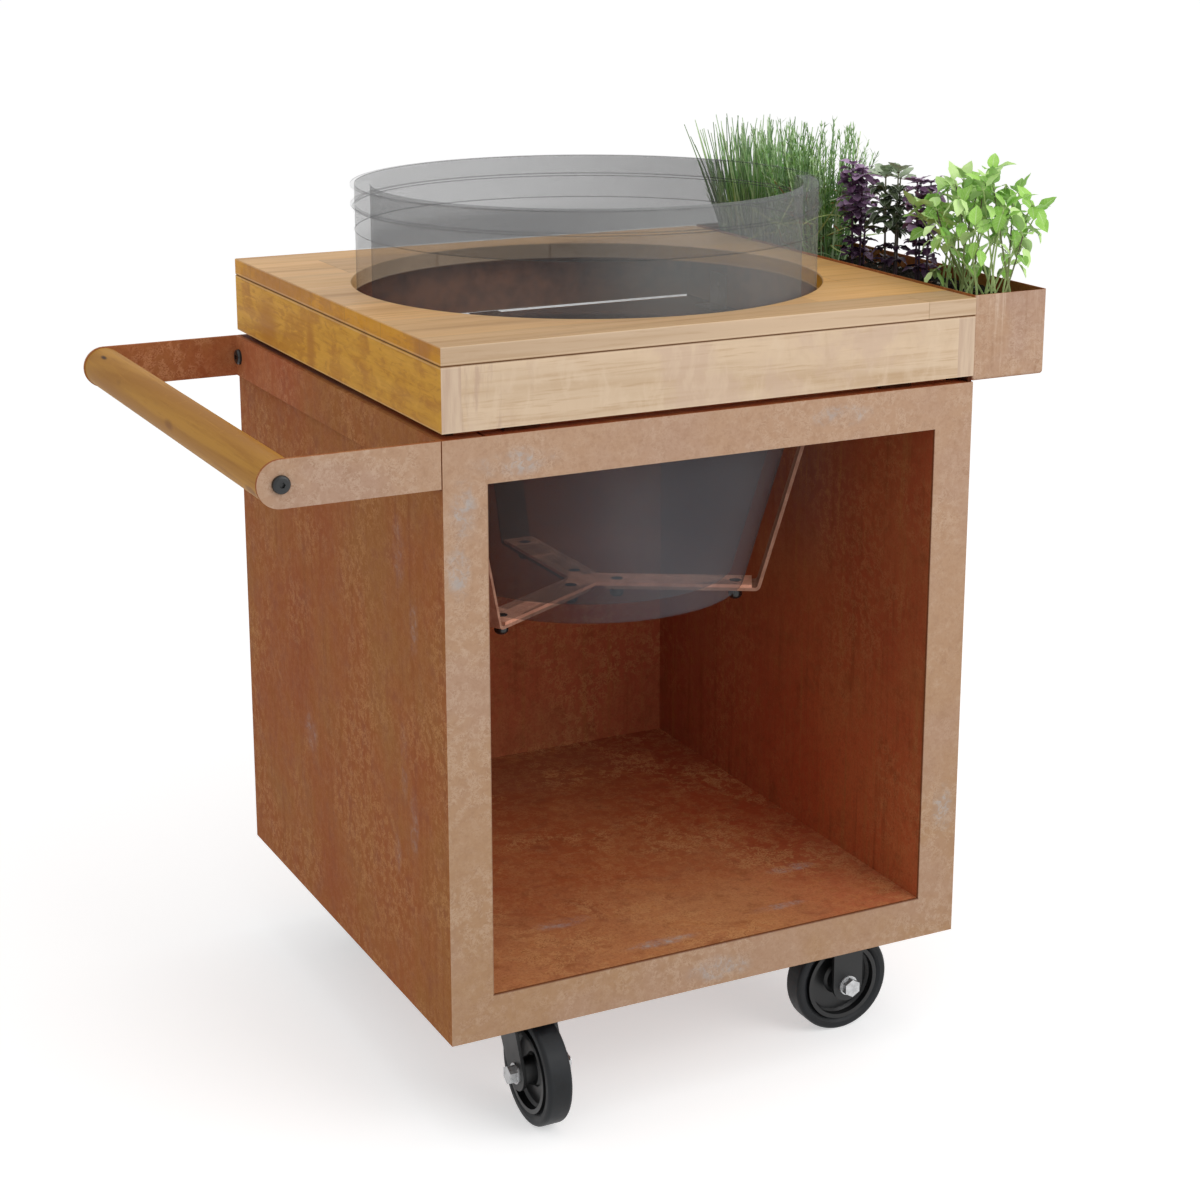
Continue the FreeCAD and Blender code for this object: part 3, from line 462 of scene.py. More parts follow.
def steel(name, *names, edges=None, streaks=0.0, front_sheen=False, rosy=0.5, brushed=0.0, inside=False,
          floor=False, back=False, far_arm_sheen=False, scuffs=(), scuffing=1.0):
    """Gives nodes rusted sheet. Where asked, its faces in the front plane carry a painted sheen, a pale veil
    for reflected light. The edges function may darken lines along their borders with painted shade."""
    look = Look(name, roughness=0.7, specular=0.09)
    colour, mottle, fine = rust(look, streaks, inside, floor, back)
    # Painted sheen: the far arm of the handle is lighter and bluer, for reflected light
    if far_arm_sheen:
        colour = look.tinted(look.spread(look.y, 0.0, 0.2), colour, (1.24, 1.26, 1.6))
    # Painted sheen: faces in the front plane that look forward take the pale colour
    if front_sheen:
        amount = look.facing(0, -1, 0) * (look.y < front_plane + 0.006)
        colour = look.blend(amount, colour, scuffed(look, painted_sheen(look, rosy, brushed), scuffs, scuffing))
    else:
        colour = scuffed(look, colour, scuffs, scuffing)
    if edges:
        colour = look.blend(edges(look), colour, edge_shade)
    look.give("Base Color", colour)
    look.give("Roughness", look.spread(mottle, 0.3, 0.7, 0.62, 0.8))
    look.bump(mottle * 0.5 + fine * 0.5, 0.0006, 0.5)
    shade(look.material, *names)


def opening_edge(look):
    """Painted shade: a dark line on the lip of the front frame round the bay and along its sill."""
    across = abs(look.x - (front_low[0] + front_high[0]) / 2)
    half = (front_high[0] - front_low[0]) / 2 - 0.050
    beside = (look.z < bay_top) * (look.z > bay_floor_top)
    side = look.line(across, half - 0.0006, 0.0022) * beside
    sill = look.line(look.z, bay_floor_top, 0.0022) * (across < half + 0.001)
    return look.most(side, sill) * 0.75


def strip_shadow(look):
    """Painted shadow: a dark line under the handle's strip on the side of the cabinet."""
    return look.line(look.z, bay_top - 0.0014, 0.0022) * 0.8


def cradle_steel(name, level, paler_middle=False):
    """Coppery flat bar, paler towards the middle of the cradle. The level scales it down for painted shade.
    """
    look = Look(name, roughness=0.55, specular=0.2 * level)
    mottle = look.noise(45, 6, 0.7)
    tones = ((0.34, (0.42, 0.195, 0.125)), (0.52, (0.55, 0.275, 0.185)), (0.7, (0.68, 0.37, 0.26)))
    colour = look.ramp(mottle, *[(at, tuple(channel * level for channel in tone)) for at, tone in tones])
    colour = look.blend(curls(look)[0] * (0.3 * level), colour, (0.85, 0.55, 0.4))
    if paler_middle:
        colour = look.tinted(look.near((*bowl_axis, 0.0), (0.3, 0.3, 0.0)), colour, (1.75, 1.55, 1.5))
    look.give("Base Color", colour)
    look.bump(mottle, 0.0006, 0.5)
    return look.material


# Wood

def grained(look, along, board, base, contrast=1.0, wavy=0.3):
    """Wood grain along one axis (0, 1 or 2), shifted by a board's own number."""
    def stretched(across, lengthwise, *settings):
        scale = [across] * 3
        scale[along] = lengthwise
        return look.noise(1.0, *settings, shift=board, stretch=tuple(scale))

    ring = stretched(15, 1.3, 3, 0.55, 0.9)
    streak = stretched(85, 3, 5, 0.65, wavy)
    pore = stretched(300, 16, 3, 0.6)
    ray = stretched(110, 95, 3, 0.7)
    lighter = tuple(min(1.0, channel * 1.12) for channel in base)
    darker = tuple(channel * factor for channel, factor in zip(base, (0.76, 0.67, 0.56)))
    colour = look.ramp(ring, (0.3, darker), (0.46, base), (0.7, lighter))
    colour = look.layered(colour, (streak, 0.50, 0.74, 0.75 * contrast, darker),
                          (streak, 0.46, 0.26, 0.65 * contrast, lighter),
                          (pore, 0.54, 0.72, 0.60 * contrast, darker),
                          (ray, 0.56, 0.72, 0.20 * contrast, lighter))
    return colour, streak, pore


def figured(look, colour, base, *places):
    """Wavy chatoyant figure of a golden side face, with a few darker orange patches."""
    ripple = look.noise(1.0, 4, 0.65, 0.9, stretch=(30, 30, 105))
    band = look.noise(1.0, 3, 0.55, 0.8, shift=(0.4, 0.2, 0.7), stretch=(9, 11, 16))
    glow = tuple(min(1.0, channel * factor) for channel, factor in zip(base, (1.1, 1.16, 1.3)))
    colour = look.layered(colour, (band, 0.50, 0.62, 0.5, wood_figure),
                          (ripple, 0.50, 0.64, 0.5, wood_figure), (ripple, 0.46, 0.32, 0.7, glow))
    for place in places:
        colour = look.blend(look.near(*place) * 0.75, colour, wood_figure)
    return colour


def edged(look, colour):
    """Painted shade darkens the seam between the slab and its rails. Painted highlights lighten the edges
    beside the seam, the slab's top edge and the rails' foot.
    """
    seam = slab_low[2]
    for level in (seam + 0.0022, seam - 0.0022, slab_high[2] - 0.0008, apron_foot + 0.0008):
        colour = look.blend(look.line(look.z, level, 0.0012) * 0.35, colour, (0.8, 0.62, 0.42))
    return look.blend(look.line(look.z, seam, 0.0016) * look.upright(), colour, seam_shade)


def wood_bump(look, streak, pore):
    look.bump(streak + pore * 0.5, 0.0004, 0.4)


def finish_wood(look, colour, streak, pore, smoothest=0.46, roughest=0.6):
    look.give("Base Color", edged(look, colour))
    look.give("Roughness", look.spread(streak, 0.3, 0.75, smoothest, roughest))
    wood_bump(look, streak, pore)
    return look.material


def slab_wood():
    """Oiled slab of edge-glued boards, paler on its front edge by a painted sheen, golden on its left edge.
    """
    look = Look("slab_wood", roughness=0.5, specular=0.16)
    board_width = 0.107
    board_length = 0.62
    first_seam = slab_low[1] + 0.055
    joint_place = slab_high[0] - 0.063
    row_value = (look.y - first_seam) / board_width
    row = look.math("FLOOR", row_value)
    row_chance = look.chance(look.joined(row, 3.0, 7.0))
    behind_first = row_value > 0.0
    start = behind_first * (row_chance * board_length)
    column_value = (look.x + start - joint_place) / board_length
    luck = look.chance(look.joined(row, look.math("FLOOR", column_value), 1.0))
    offset = look.joined(luck * 9.0, row_chance * 5.0, luck)
    beige, streak, pore = grained(look, 0, offset, wood_top, 1.25)
    golden = grained(look, 0, offset, wood_gold, 1.25)[0]
    front = grained(look, 0, offset, slab_front_sheen, 0.7)[0]
    side = figured(look, grained(look, 1, None, slab_side, 0.8, 1.2)[0], slab_side,
                   ((slab_low[0], -0.265, 0.886), (0.1, 0.03, 0.1)),
                   ((slab_low[0], 0.19, 0.886), (0.1, 0.14, 0.1)))
    warm = look.spread(look.x, 0.05, 0.36, 0.0, 0.58) + luck * 0.35
    top = look.blend(warm * behind_first, beige, golden)
    # Painted sheen: faces towards the front take the paler colour, for reflected light
    colour = look.blend(look.facing(0, -1, 0), top, front)
    colour = look.blend(look.facing(-1, 0, 0), colour, side)
    tint = look.ramp(luck, (0.0, (0.94, 0.88, 0.8)), (0.45, (1.04, 1.03, 1.0)), (1.0, (1.1, 1.08, 1.04)))
    tint = look.blend(behind_first, (0.96, 0.95, 0.95), tint)
    tint = look.blend(look.upright(), tint, (1.0, 1.0, 1.0))
    colour = look.blend(1.0, colour, tint, "MULTIPLY")
    row_edge = look.line(look.math("FRACT", row_value + 0.5), 0.5, 0.0085)
    column_edge = look.line(look.math("FRACT", column_value + 0.5), 0.5, 0.0016)
    colour = look.blend(look.most(row_edge, column_edge) * 0.5, colour, (0.26, 0.125, 0.045))
    return finish_wood(look, colour, streak, pore, 0.44, 0.58)


def front_rail_wood():
    """Beige board with pinkish clouds, and short upright streaks near its left end. Its pale colour is
    partly a painted sheen for reflected light.
    """
    look = Look("front_rail_wood", roughness=0.52, specular=0.14)
    colour, streak, pore = grained(look, 0, None, wood_front_sheen, 0.85)
    patch = look.spread(look.noise(9, 5, 0.65, shift=(2, 5, 1)), 0.47, 0.60)
    colour = look.blend(patch * 0.6, colour, wood_pink)
    left_end = look.spread(look.x, slab_low[0] + 0.13, slab_low[0] + 0.04)
    upright_streak = look.noise(1.0, 5, 0.65, stretch=(120, 120, 14))
    dark_streak = left_end * look.spread(upright_streak, 0.48, 0.66, 0.0, 0.75)
    colour = look.blend(dark_streak, colour, (0.53, 0.37, 0.27))
    shimmer = look.noise(1.0, 4, 0.6, 0.6, stretch=(46, 46, 22))
    colour = look.layered(colour, (shimmer, 0.50, 0.68, 0.4, (0.74, 0.575, 0.415)),
                          (shimmer, 0.46, 0.30, 0.35, (0.58, 0.41, 0.27)))
    return finish_wood(look, colour, streak, pore)


def side_rail_wood(name, along, inner=None):
    """Golden board with a wavy figure. Its end grain, facing the front, is pale like the front board, a
    painted sheen, and its inner face is dark."""
    look = Look(name, roughness=0.52, specular=0.12)
    colour, streak, pore = grained(look, along, None, wood_side, 0.9, 1.4)
    colour = figured(look, colour, wood_side, ((slab_low[0], 0.222, 0.83), (0.05, 0.055, 0.05)),
                     ((slab_low[0], 0.071, 0.83), (0.05, 0.02, 0.05)))
    if along == 1:
        upright_streak = look.noise(1.0, 4, 0.6, stretch=(150, 150, 12))
        front_end_sheen = look.ramp(upright_streak, (0.36, (0.57, 0.41, 0.3)), (0.62, (0.67, 0.51, 0.37)))
        colour = look.blend(look.facing(0, -1, 0), colour, front_end_sheen)
    if inner:
        stain = look.ramp(look.noise(40, 6, 0.7), (0.38, (0.22, 0.066, 0.026)), (0.62, (0.42, 0.15, 0.062)))
        colour = look.blend(look.facing(*inner), colour, stain)
    return finish_wood(look, colour, streak, pore)


def dowel_wood():
    """Varnished round handle with long streaks, a few small knots and a drying crack."""
    look = Look("dowel_wood", roughness=0.5, specular=0.08)
    colour, streak, pore = grained(look, 1, None, (0.5, 0.24, 0.032), 1.2)
    band = look.noise(1.0, 3, 0.55, 0.5, shift=(0.3, 0.9, 0.2), stretch=(40, 1.8, 40))
    colour = look.layered(colour, (band, 0.48, 0.64, 0.6, (0.37, 0.155, 0.022)))
    stretched = look.scaled((22, 7, 22), look.place)
    knots = look.node("TexVoronoi", {"Scale": 1.0, "Vector": stretched}, "Distance")
    colour = look.blend(look.spread(knots, 0.07, 0.17, 0.7, 0.0), colour, (0.23, 0.085, 0.016))
    crack = look.near((-0.47, 0.29, 0.797), (0.003, 0.016, 0.02))
    look.give("Base Color", look.blend(crack, colour, (0.06, 0.022, 0.008)))
    wood_bump(look, streak, pore)
    return look.material


# Small parts

def dark_metal(name, base, roughness, wear=0.3):
    """Black powder-coated or blackened metal with a fine orange-peel texture."""
    look = Look(name, roughness=roughness)
    smear = look.noise(22)
    lighter = tuple(channel * 1.9 + 0.006 for channel in base)
    look.give("Base Color", look.layered(base, (smear, 0.42, 0.7, wear, lighter)))
    look.give("Roughness", look.spread(smear, 0.3, 0.7, roughness - 0.06, roughness + 0.08))
    look.bump(look.noise(900, 2), 0.00012, 0.4)
    return look.material


def pad_rubber():
    """Dull dark brown rubber, coloured as painted shade: like the shaded steel of the shadow gap."""
    look = Look("pad_rubber", roughness=0.9, specular=0.02)
    tones = ((0.4, (0.06, 0.018, 0.009)), (0.6, (0.085, 0.027, 0.013)))
    look.give("Base Color", look.ramp(look.noise(90), *tones))
    look.bump(look.noise(600, 2), 0.0002, 0.4)
    return look.material


def tyre_rubber():
    look = Look("tyre_rubber", roughness=0.48, specular=0.3)
    dusting = look.noise(30, 5, 0.65)
    tones = ((0.35, (0.006, 0.0068, 0.0078)), (0.65, (0.013, 0.015, 0.018)))
    look.give("Base Color", look.ramp(dusting, *tones))
    look.give("Roughness", look.spread(dusting, 0.3, 0.7, 0.42, 0.58))
    look.bump(look.noise(700, 2), 0.00015, 0.5)
    return look.material


def plated_steel(name, base, roughness):
    look = Look(name, roughness=roughness, metallic=0.85)
    smear = look.noise(140, 4, 0.6)
    darker = tuple(channel * 0.72 for channel in base)
    look.give("Base Color", look.ramp(smear, (0.35, darker), (0.62, base)))
    look.give("Roughness", look.spread(smear, 0.3, 0.7, roughness - 0.08, roughness + 0.12))
    look.bump(look.noise(500, 2), 0.0001, 0.4)
    return look.material


# The see-through bowl

def ghost(name, tone, opacity):
    """See-through grey. Two functions give its colour and the share of light that each skin stops. It casts
    no shadow, as in the photograph."""
    look = Look(name, roughness=0.7, specular=0.03)
    cloud = look.spread(look.noise(3.0, 2), 0.4, 0.6)
    look.give("Base Color", look.blend(cloud * 0.06, tone(look), (1.0, 1.0, 1.0), "SCREEN"))
    look.give("Alpha", opacity(look) * (1.0 - look.node("LightPath", output="Is Shadow Ray")))
    return look.material


def bowl_tone(look):
    """Painted light makes it paler towards the front right; painted shade makes it darker and bluish under
    the worktop. It is pale inside the far half.
    """
    above = look.blend(look.spread(look.toward(dense_side), 0.46, 0.86), ghost_grey, ghost_lit)
    below = look.blend(look.spread(look.toward(-78), 0.58, 0.96), ghost_bay_shade, ghost_bay_lit)
    far_half = look.spread(look.toward(viewer_side), 0.10, -0.10)
    inner = far_half * look.spread(look.z, slab_low[2] - 0.22, slab_low[2] - 0.12)
    below = look.blend(inner, below, ghost_inner)
    return look.blend(look.spread(look.z, slab_low[2] - 0.06, slab_low[2]), below, above)


def band_tone(look):
    return look.blend(look.spread(look.noise(60), 0.4, 0.6), ghost_band, ghost_grey)


def bowl_opacity(look):
    """The half towards the viewer is a veil, denser to the right and below the worktop. The far half is
    dense above the worktop, except beside the herbs, and a thin veil below it. The base is nearly clear."""
    near_half = look.spread(look.toward(viewer_side), -0.10, 0.10)
    by_herbs = look.spread(look.toward(herb_side), herb_edge, herb_edge + 0.012)
    edge_level = slab_high[2] + slab_high[1] * veil_slope
    above = look.spread(look.z + look.y * veil_slope, edge_level - 0.002, edge_level + 0.002)
    behind = look.spread(look.toward(130), -0.1, 1.0, 0.46, 0.35)
    behind = look.mixed(look.spread(look.z, slab_high[2] + 0.035, slab_high[2] + 0.055), 0.46, behind)
    base = look.spread(look.z, slab_low[2] - 0.02, slab_low[2], 0.10, 0.04)
    far_skin = look.most(above * behind * (1.0 - by_herbs), base)
    veil = look.spread(look.toward(dense_side), 0.46, 0.86, 0.28, 0.38)
    near_skin = look.mixed(look.spread(look.z, slab_low[2] - 0.10, slab_low[2]), 0.45, veil)
    sides = look.mixed(near_half, far_skin, near_skin)
    near_base = look.spread(look.z, bowl_low[2] + 0.0205, bowl_low[2] + 0.024, 1.0, 0.0)
    return look.mixed(near_base * (1.0 - look.upright()), sides, 0.03)


def band_opacity(look):
    """The bands are almost clear, with fine lines along their edges."""
    low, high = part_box("bowl_bands")
    lines = (1.0 - look.upright()) * 0.5
    for level in (high[2] - 0.0006, high[2] - 0.0235, low[2] + 0.0275, low[2] + 0.0006):
        lines = look.most(lines, look.line(look.z, level, 0.0011))
    return look.spread(lines, 0.0, 1.0, 0.015, 0.34)


# Pieces of the scene

def add_piece(name, points, faces, kinds, materials, slot, *replaced):
    """A mesh that rides on the cabinet. Kinds are the numbers of its faces' materials."""
    mesh = bpy.data.meshes.new(name)
    mesh.from_pydata(points, [], faces)
    for material in materials:
        mesh.materials.append(material)
    mesh.polygons.foreach_set("material_index", kinds)
    piece = add_object(name, mesh)
    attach(piece, "cabinet")
    if replaced:
        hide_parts(*replaced)
    return mesh


def gap_shade_strips():
    """Painted shade: dark strips in the shadow gap behind the planter, between its tabs, so that no daylight
    shows there.
    """
    clearance = 0.0002
    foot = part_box("right_side_panel")[1][2] + clearance
    head = apron_foot - clearance
    right = front_high[0] - 0.0015
    left = right - 0.005
    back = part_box("back_panel")[1][1] - 0.007
    tab_near = 0.1195
    tab_far = 0.1805
    points = []
    faces = []
    for near, far in ((front_plane + 0.0015, -tab_far), (-tab_near, tab_near), (tab_far, back)):
        first = len(points)
        outline = ((left, near), (right, near), (right, far), (left, far))
        points += [(x, y, z) for z in (foot, head) for x, y in outline]
        for face in ((3, 2, 1, 0), (4, 5, 6, 7), (0, 1, 5, 4), (1, 2, 6, 5), (2, 3, 7, 6), (3, 0, 4, 7)):
            faces.append(tuple(first + corner for corner in face))
    add_piece("gap_shade_strips", points, faces, [0] * len(faces), [pad_rubber()], "pad_rubber")


def dress_steel():
    front = [((x, front_plane, z), (across, 0.02, up)) for x, z, across, up in front_scuffs]
    on_floor = [((x, y, bay_floor_top), (across, deep, 0.02)) for x, y, across, deep in floor_scuffs]
    on_side = [((cad_left, y, z), (0.1, across, up)) for y, z, across, up in side_scuffs]
    steel("steel_front", "front_frame", front_sheen=True, scuffs=front, edges=opening_edge)
    steel("steel_sides", "left_side_panel", streaks=0.45, scuffs=on_side, scuffing=0.42, edges=strip_shadow)
    steel("steel_outside", "right_side_panel", streaks=0.45)
    steel("steel_back", "back_panel", streaks=0.45, back=True)
    steel("steel_inside", "left_bay_wall", "right_bay_wall", "front_top_rail", "back_top_angle",
          "left_base_rail", "right_base_rail", "hanger_plate", streaks=0.55, inside=True)
    steel("steel_floor", "bay_floor", floor=True, scuffs=on_floor)
    steel("steel_planter", "planter_tray", front_sheen=True, streaks=0.3, rosy=1.0, brushed=0.5)
    steel("steel_handle", "handle_bracket", front_sheen=True, streaks=0.3, rosy=0.7, far_arm_sheen=True)
    shade(cradle_steel("cradle_steel", 1.0, paler_middle=True), "cradle_plate")
    # Painted shade: the straps are darker copies of the cradle's steel, the back strap behind the bowl
    # darkest
    shade(cradle_steel("strap_steel_shaded", 0.72), "hanger_strap_1", "hanger_strap_3")
    shade(cradle_steel("cradle_steel_deep_shade", 0.3), "hanger_strap_2")


def dress_wood():
    shade(slab_wood(), "worktop_slab")
    shade(front_rail_wood(), "apron_front")
    shade(side_rail_wood("left_rail_wood", 1), "apron_left")
    shade(side_rail_wood("right_rail_wood", 1, inner=(-1, 0, 0)), "apron_right")
    shade(side_rail_wood("back_rail_wood", 0, inner=(0, -1, 0)), "apron_back")
    shade(dowel_wood(), "handle_dowel")


def dress_small_parts():
    def on_casters(part, sides=("left", "right")):
        return [end + side + part for end in ("front_", "back_") for side in sides]

    shade(plated_steel("zinc_plate", (0.62, 0.63, 0.64), 0.30), "caster_bolts", *on_casters("_axle"))
    shade(plated_steel("bracket_zinc", (0.52, 0.53, 0.54), 0.38), "worktop_brackets", "top_screws")
    shade(dark_metal("black_bolts", (0.01, 0.011, 0.012), 0.32), "handle_bolts", "cradle_bolts",
          "cradle_nuts")
    shade(pad_rubber(), "spacer_pads")
    shade(dark_metal("caster_black", (0.006, 0.0065, 0.007), 0.42), *on_casters("_fork"),
          *on_casters("_caster_plate", ["left"]), *on_casters("_swivel_race", ["left"]))
    shade(dark_metal("rim_black", (0.005, 0.0055, 0.006), 0.34, wear=0.2), *on_casters("_rim"))
    shade(tyre_rubber(), *on_casters("_tyre"))


# Herbs and soil

class Growth:
    """Gathers the faces of one plant. Each point has a tone and its place along and across its leaf."""

    def __init__(self, name, seed):
        self.name = name
        self.random = random.Random(seed)
        self.between = self.random.uniform
        self.points = []
        self.faces = []
        self.kinds = []
        self.marks = []

    def grid(self, rows, kind):
        """Joins rows of equally many points with quads."""
        first = len(self.points)
        width = len(rows[0])
        for row in rows:
            for point, marks in row:
                self.points.append(point)
                self.marks.append(marks)
        for i in range(len(rows) - 1):
            for j in range(width - 1):
                low = first + i * width + j
                self.faces.append((low, low + 1, low + 1 + width, low + width))
                self.kinds.append(kind)

    def leaf(self, base, way, up, length, width, shape, droop, fold, wave=0.0, steps=6, kind=0, tone=None):
        """A folded, drooping leaf. The shape gives the half width at each share of the length."""
        tone = self.between(0, 1) if tone is None else tone
        way = way.normalized()
        side = way.cross(up)
        if side.length < 1e-4:
            side = way.orthogonal()
        side.normalize()
        normal = side.cross(way).normalized()
        point = base.copy()
        rows = []
        phase = self.between(0, 6.28)
        for i in range(steps + 1):
            share = i / steps
            half = shape(share) * width / 2
            row = []
            for across in (-1.0, -0.5, 0.0, 0.5, 1.0):
                lift = abs(across) * half * fold + wave * half * math.sin(share * 14 + phase) * abs(across)
                row.append((point + side * (across * half) + normal * lift, (tone, share, across)))
            rows.append(row)
            turn = Matrix.Rotation(-droop / steps, 3, side)
            way = (turn @ way).normalized()
            normal = (turn @ normal).normalized()
            point = point + way * (length / steps)
        self.grid(rows, kind)

    def stem(self, path, start_radius, end_radius, kind=1, sides=5):
        """A tube along a list of points."""
        tone = self.between(0, 1)
        rows = []
        count = len(path) - 1
        for i, point in enumerate(path):
            way = (path[min(i + 1, count)] - path[max(i - 1, 0)]).normalized()
            side = way.orthogonal().normalized()
            if abs(way.z) > 0.5:
                side = way.cross(Vector((0, 1, 0))).normalized()
            other = way.cross(side)
            radius = start_radius + (end_radius - start_radius) * i / count
            row = []
            for k in range(sides + 1):
                angle = 2 * math.pi * k / sides
                place = point + (side * math.cos(angle) + other * math.sin(angle)) * radius
                row.append((place, (tone, i / count, math.cos(angle))))
            rows.append(row)
        self.grid(rows, kind)

    def arc(self, base, way, length, bend, steps=6):
        """Points of a stalk that starts in one direction and bends over towards another."""
        points = [base.copy()]
        way = way.normalized()
        for _ in range(steps):
            way = (way + bend / steps).normalized()
            points.append(points[-1] + way * (length / steps))
        return points

    def finish(self, materials, slot, *replaced):
        mesh = add_piece(self.name, self.points, self.faces, self.kinds, materials, slot, *replaced)
        mesh.polygons.foreach_set("use_smooth", [True] * len(self.faces))
        for name, values in zip(("tone", "along", "across"), zip(*self.marks)):
            mesh.attributes.new(name, "FLOAT", "POINT").data.foreach_set("value", values)


def ovate(share):
    return max(0.0, math.sin(math.pi * share ** 0.72)) ** 0.95


def oval(share):
    return max(0.0, math.sin(math.pi * share ** 0.95)) ** 0.62


def needle(share):
    return min(1.0, 5 * share + 0.3) * (1.0 - share ** 3)


def leaf_material(name, low, middle, high, vein, rib_strength=0.5, roughness=0.5, under=None, edge=None):
    """Leaf colour that differs from leaf to leaf, with a pale midrib, side veins and perhaps a pale edge."""
    look = Look(name, roughness=roughness, specular=0.35)
    across = look.named("across")
    blotch = look.noise(160, 3)
    colour = look.ramp(look.named("tone") * 0.75 + blotch * 0.25, (0.1, low), (0.45, middle), (0.85, high))
    slope = look.named("along") - abs(across) * 0.22
    veins = look.line(look.math("FRACT", slope * 7.0), 0.5, 0.13)
    lines = look.most(look.line(across, 0.0, 0.13), veins * 0.55)
    colour = look.blend(lines * rib_strength, colour, vein)
    if edge:
        colour = look.layered(colour, (abs(across), 0.62, 1.0, 0.85, edge))
    if under:
        colour = look.blend(look.node("NewGeometry", output="Backfacing"), colour, under)
    look.give("Base Color", colour)
    look.bump(blotch - lines, 0.0004, 0.5)
    return look.material


def stalk_material(name, low, high):
    look = Look(name, roughness=0.55, specular=0.3)
    fleck = look.noise(240, 3)
    look.give("Base Color", look.ramp(look.named("along") * 0.8 + fleck * 0.3, (0.15, low), (0.9, high)))
    look.bump(fleck, 0.0003, 0.4)
    return look.material


def blade_material(name):
    """Round green blade, greyer at its tip, with a painted highlight as a pale stripe along one side."""
    look = Look(name, roughness=0.5, specular=0.3)
    tone = look.named("tone")
    green = look.ramp(look.named("along"), (0.0, (0.13, 0.24, 0.035)), (0.3, (0.12, 0.32, 0.035)),
                      (0.65, (0.22, 0.56, 0.1)), (1.0, (0.42, 0.58, 0.32)))
    green = look.layered(green, (tone, 0.50, 0.20, 0.85, (0.045, 0.14, 0.02)),
                         (tone, 0.62, 0.92, 0.85, (0.62, 0.82, 0.46)))
    highlight_stripe = look.line(look.named("across"), 0.9, 0.8)
    look.give("Base Color", look.blend(highlight_stripe * 0.4, green, (0.66, 0.82, 0.58)))
    look.bump(look.noise(500, 2), 0.0002, 0.5)
    return look.material


def foot_of(node):
    """Middle, half sizes and height of a herb's CAD clump."""
    low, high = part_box(node)
    middle = Vector(((low[0] + high[0]) / 2, (low[1] + high[1]) / 2, low[2]))
    return middle, (high[0] - low[0]) / 2, (high[1] - low[1]) / 2, high[2] - low[2]


def in_clump(growth, middle, half_x, half_y, reach):
    """A random place inside an ellipse and its offset as a share of the half sizes."""
    while True:
        x = growth.between(-1, 1)
        y = growth.between(-1, 1)
        if x * x + y * y <= 1:
            return middle + Vector((x * half_x * reach, y * half_y * reach, 0)), x, y


def chives():
    """Tall round blades of uneven length that fan out towards the far end of the clump."""
    growth = Growth("chives_blades", 11)
    draw = growth.between
    middle, half_x, half_y, height = foot_of("chives")
    for _ in range(420):
        foot, x, y = in_clump(growth, middle, half_x, half_y, 0.82)
        foot.z -= 0.003
        fan = 0.28 if y > 0 else 0.10
        lean = Vector((x * 0.16 + draw(-0.15, 0.15), y * fan + draw(-0.17, 0.17), 1.0))
        length = height * draw(0.56, 1.07)
        path = growth.arc(foot, lean, length, Vector((draw(-0.16, 0.16), draw(-0.18, 0.18), 0)))
        growth.stem(path, draw(0.0012, 0.0017), 0.0005, kind=0)
    for _ in range(110):
        foot = in_clump(growth, middle, half_x, half_y, 0.85)[0]
        lean = Vector((draw(-0.5, 0.5), draw(-0.6, 0.6), 1.0))
        path = growth.arc(foot, lean, height * draw(0.25, 0.6), Vector((0, 0, -0.3)), steps=5)
        growth.stem(path, 0.0010, 0.0005, sides=4)
    straw = stalk_material("chives_straw", (0.42, 0.40, 0.14), (0.30, 0.50, 0.12))
    growth.finish([blade_material("chives_leaf"), straw], "chives_leaf", "chives")


def rosemary():
    """Thin spiky shoots with short needles over a dark tangle of grassy blades and a few brown twigs."""
    growth = Growth("rosemary_shoots", 23)
    draw = growth.between
    middle, half_x, half_y, height = foot_of("rosemary")
    for _ in range(150):
        foot, x, y = in_clump(growth, middle, half_x, half_y, 0.84)
        foot.z -= 0.003
        lean = Vector((x * 0.20 + draw(-0.16, 0.14), y * 0.18 + draw(-0.14, 0.22), 1.0))
        length = height * draw(0.55, 1.14) * (1.0 - 0.06 * abs(y))
        path = growth.arc(foot, lean, length, Vector((draw(-0.2, 0.2), draw(-0.22, 0.28), 0.1)), steps=14)
        growth.stem(path, 0.0013, 0.0006, kind=3, sides=4)
        needles(growth, path)
    tangle = ((230, 3, 0.0009, 0.020, 0.060), (34, 2, 0.0011, 0.060, 0.100), (90, 1, 0.0011, 0.015, 0.040))
    for count, kind, radius, short, long in tangle:
        for _ in range(count):
            foot = in_clump(growth, middle, half_x, half_y, 0.95)[0]
            foot.z += draw(0.0, height * 0.5)
            way = Vector((draw(-1, 1), draw(-1, 1), draw(-0.3, 1.3)))
            bend = Vector((0, 0, draw(-0.8, 0.4)))
            path = growth.arc(foot, way, draw(short, long), bend, steps=5)
            growth.stem(path, radius, radius * 0.4, kind=kind, sides=4)
    leaf = leaf_material("rosemary_needles", (0.05, 0.12, 0.015), (0.15, 0.34, 0.05), (0.44, 0.66, 0.28),
                         (0.5, 0.66, 0.34), rib_strength=0.2)
    bark = stalk_material("rosemary_bark", (0.24, 0.085, 0.025), (0.46, 0.20, 0.06))
    straw = stalk_material("rosemary_straw", (0.60, 0.66, 0.26), (0.46, 0.64, 0.20))
    growth.finish([leaf, bark, straw, blade_material("rosemary_blade")], "rosemary_leaf", "rosemary")


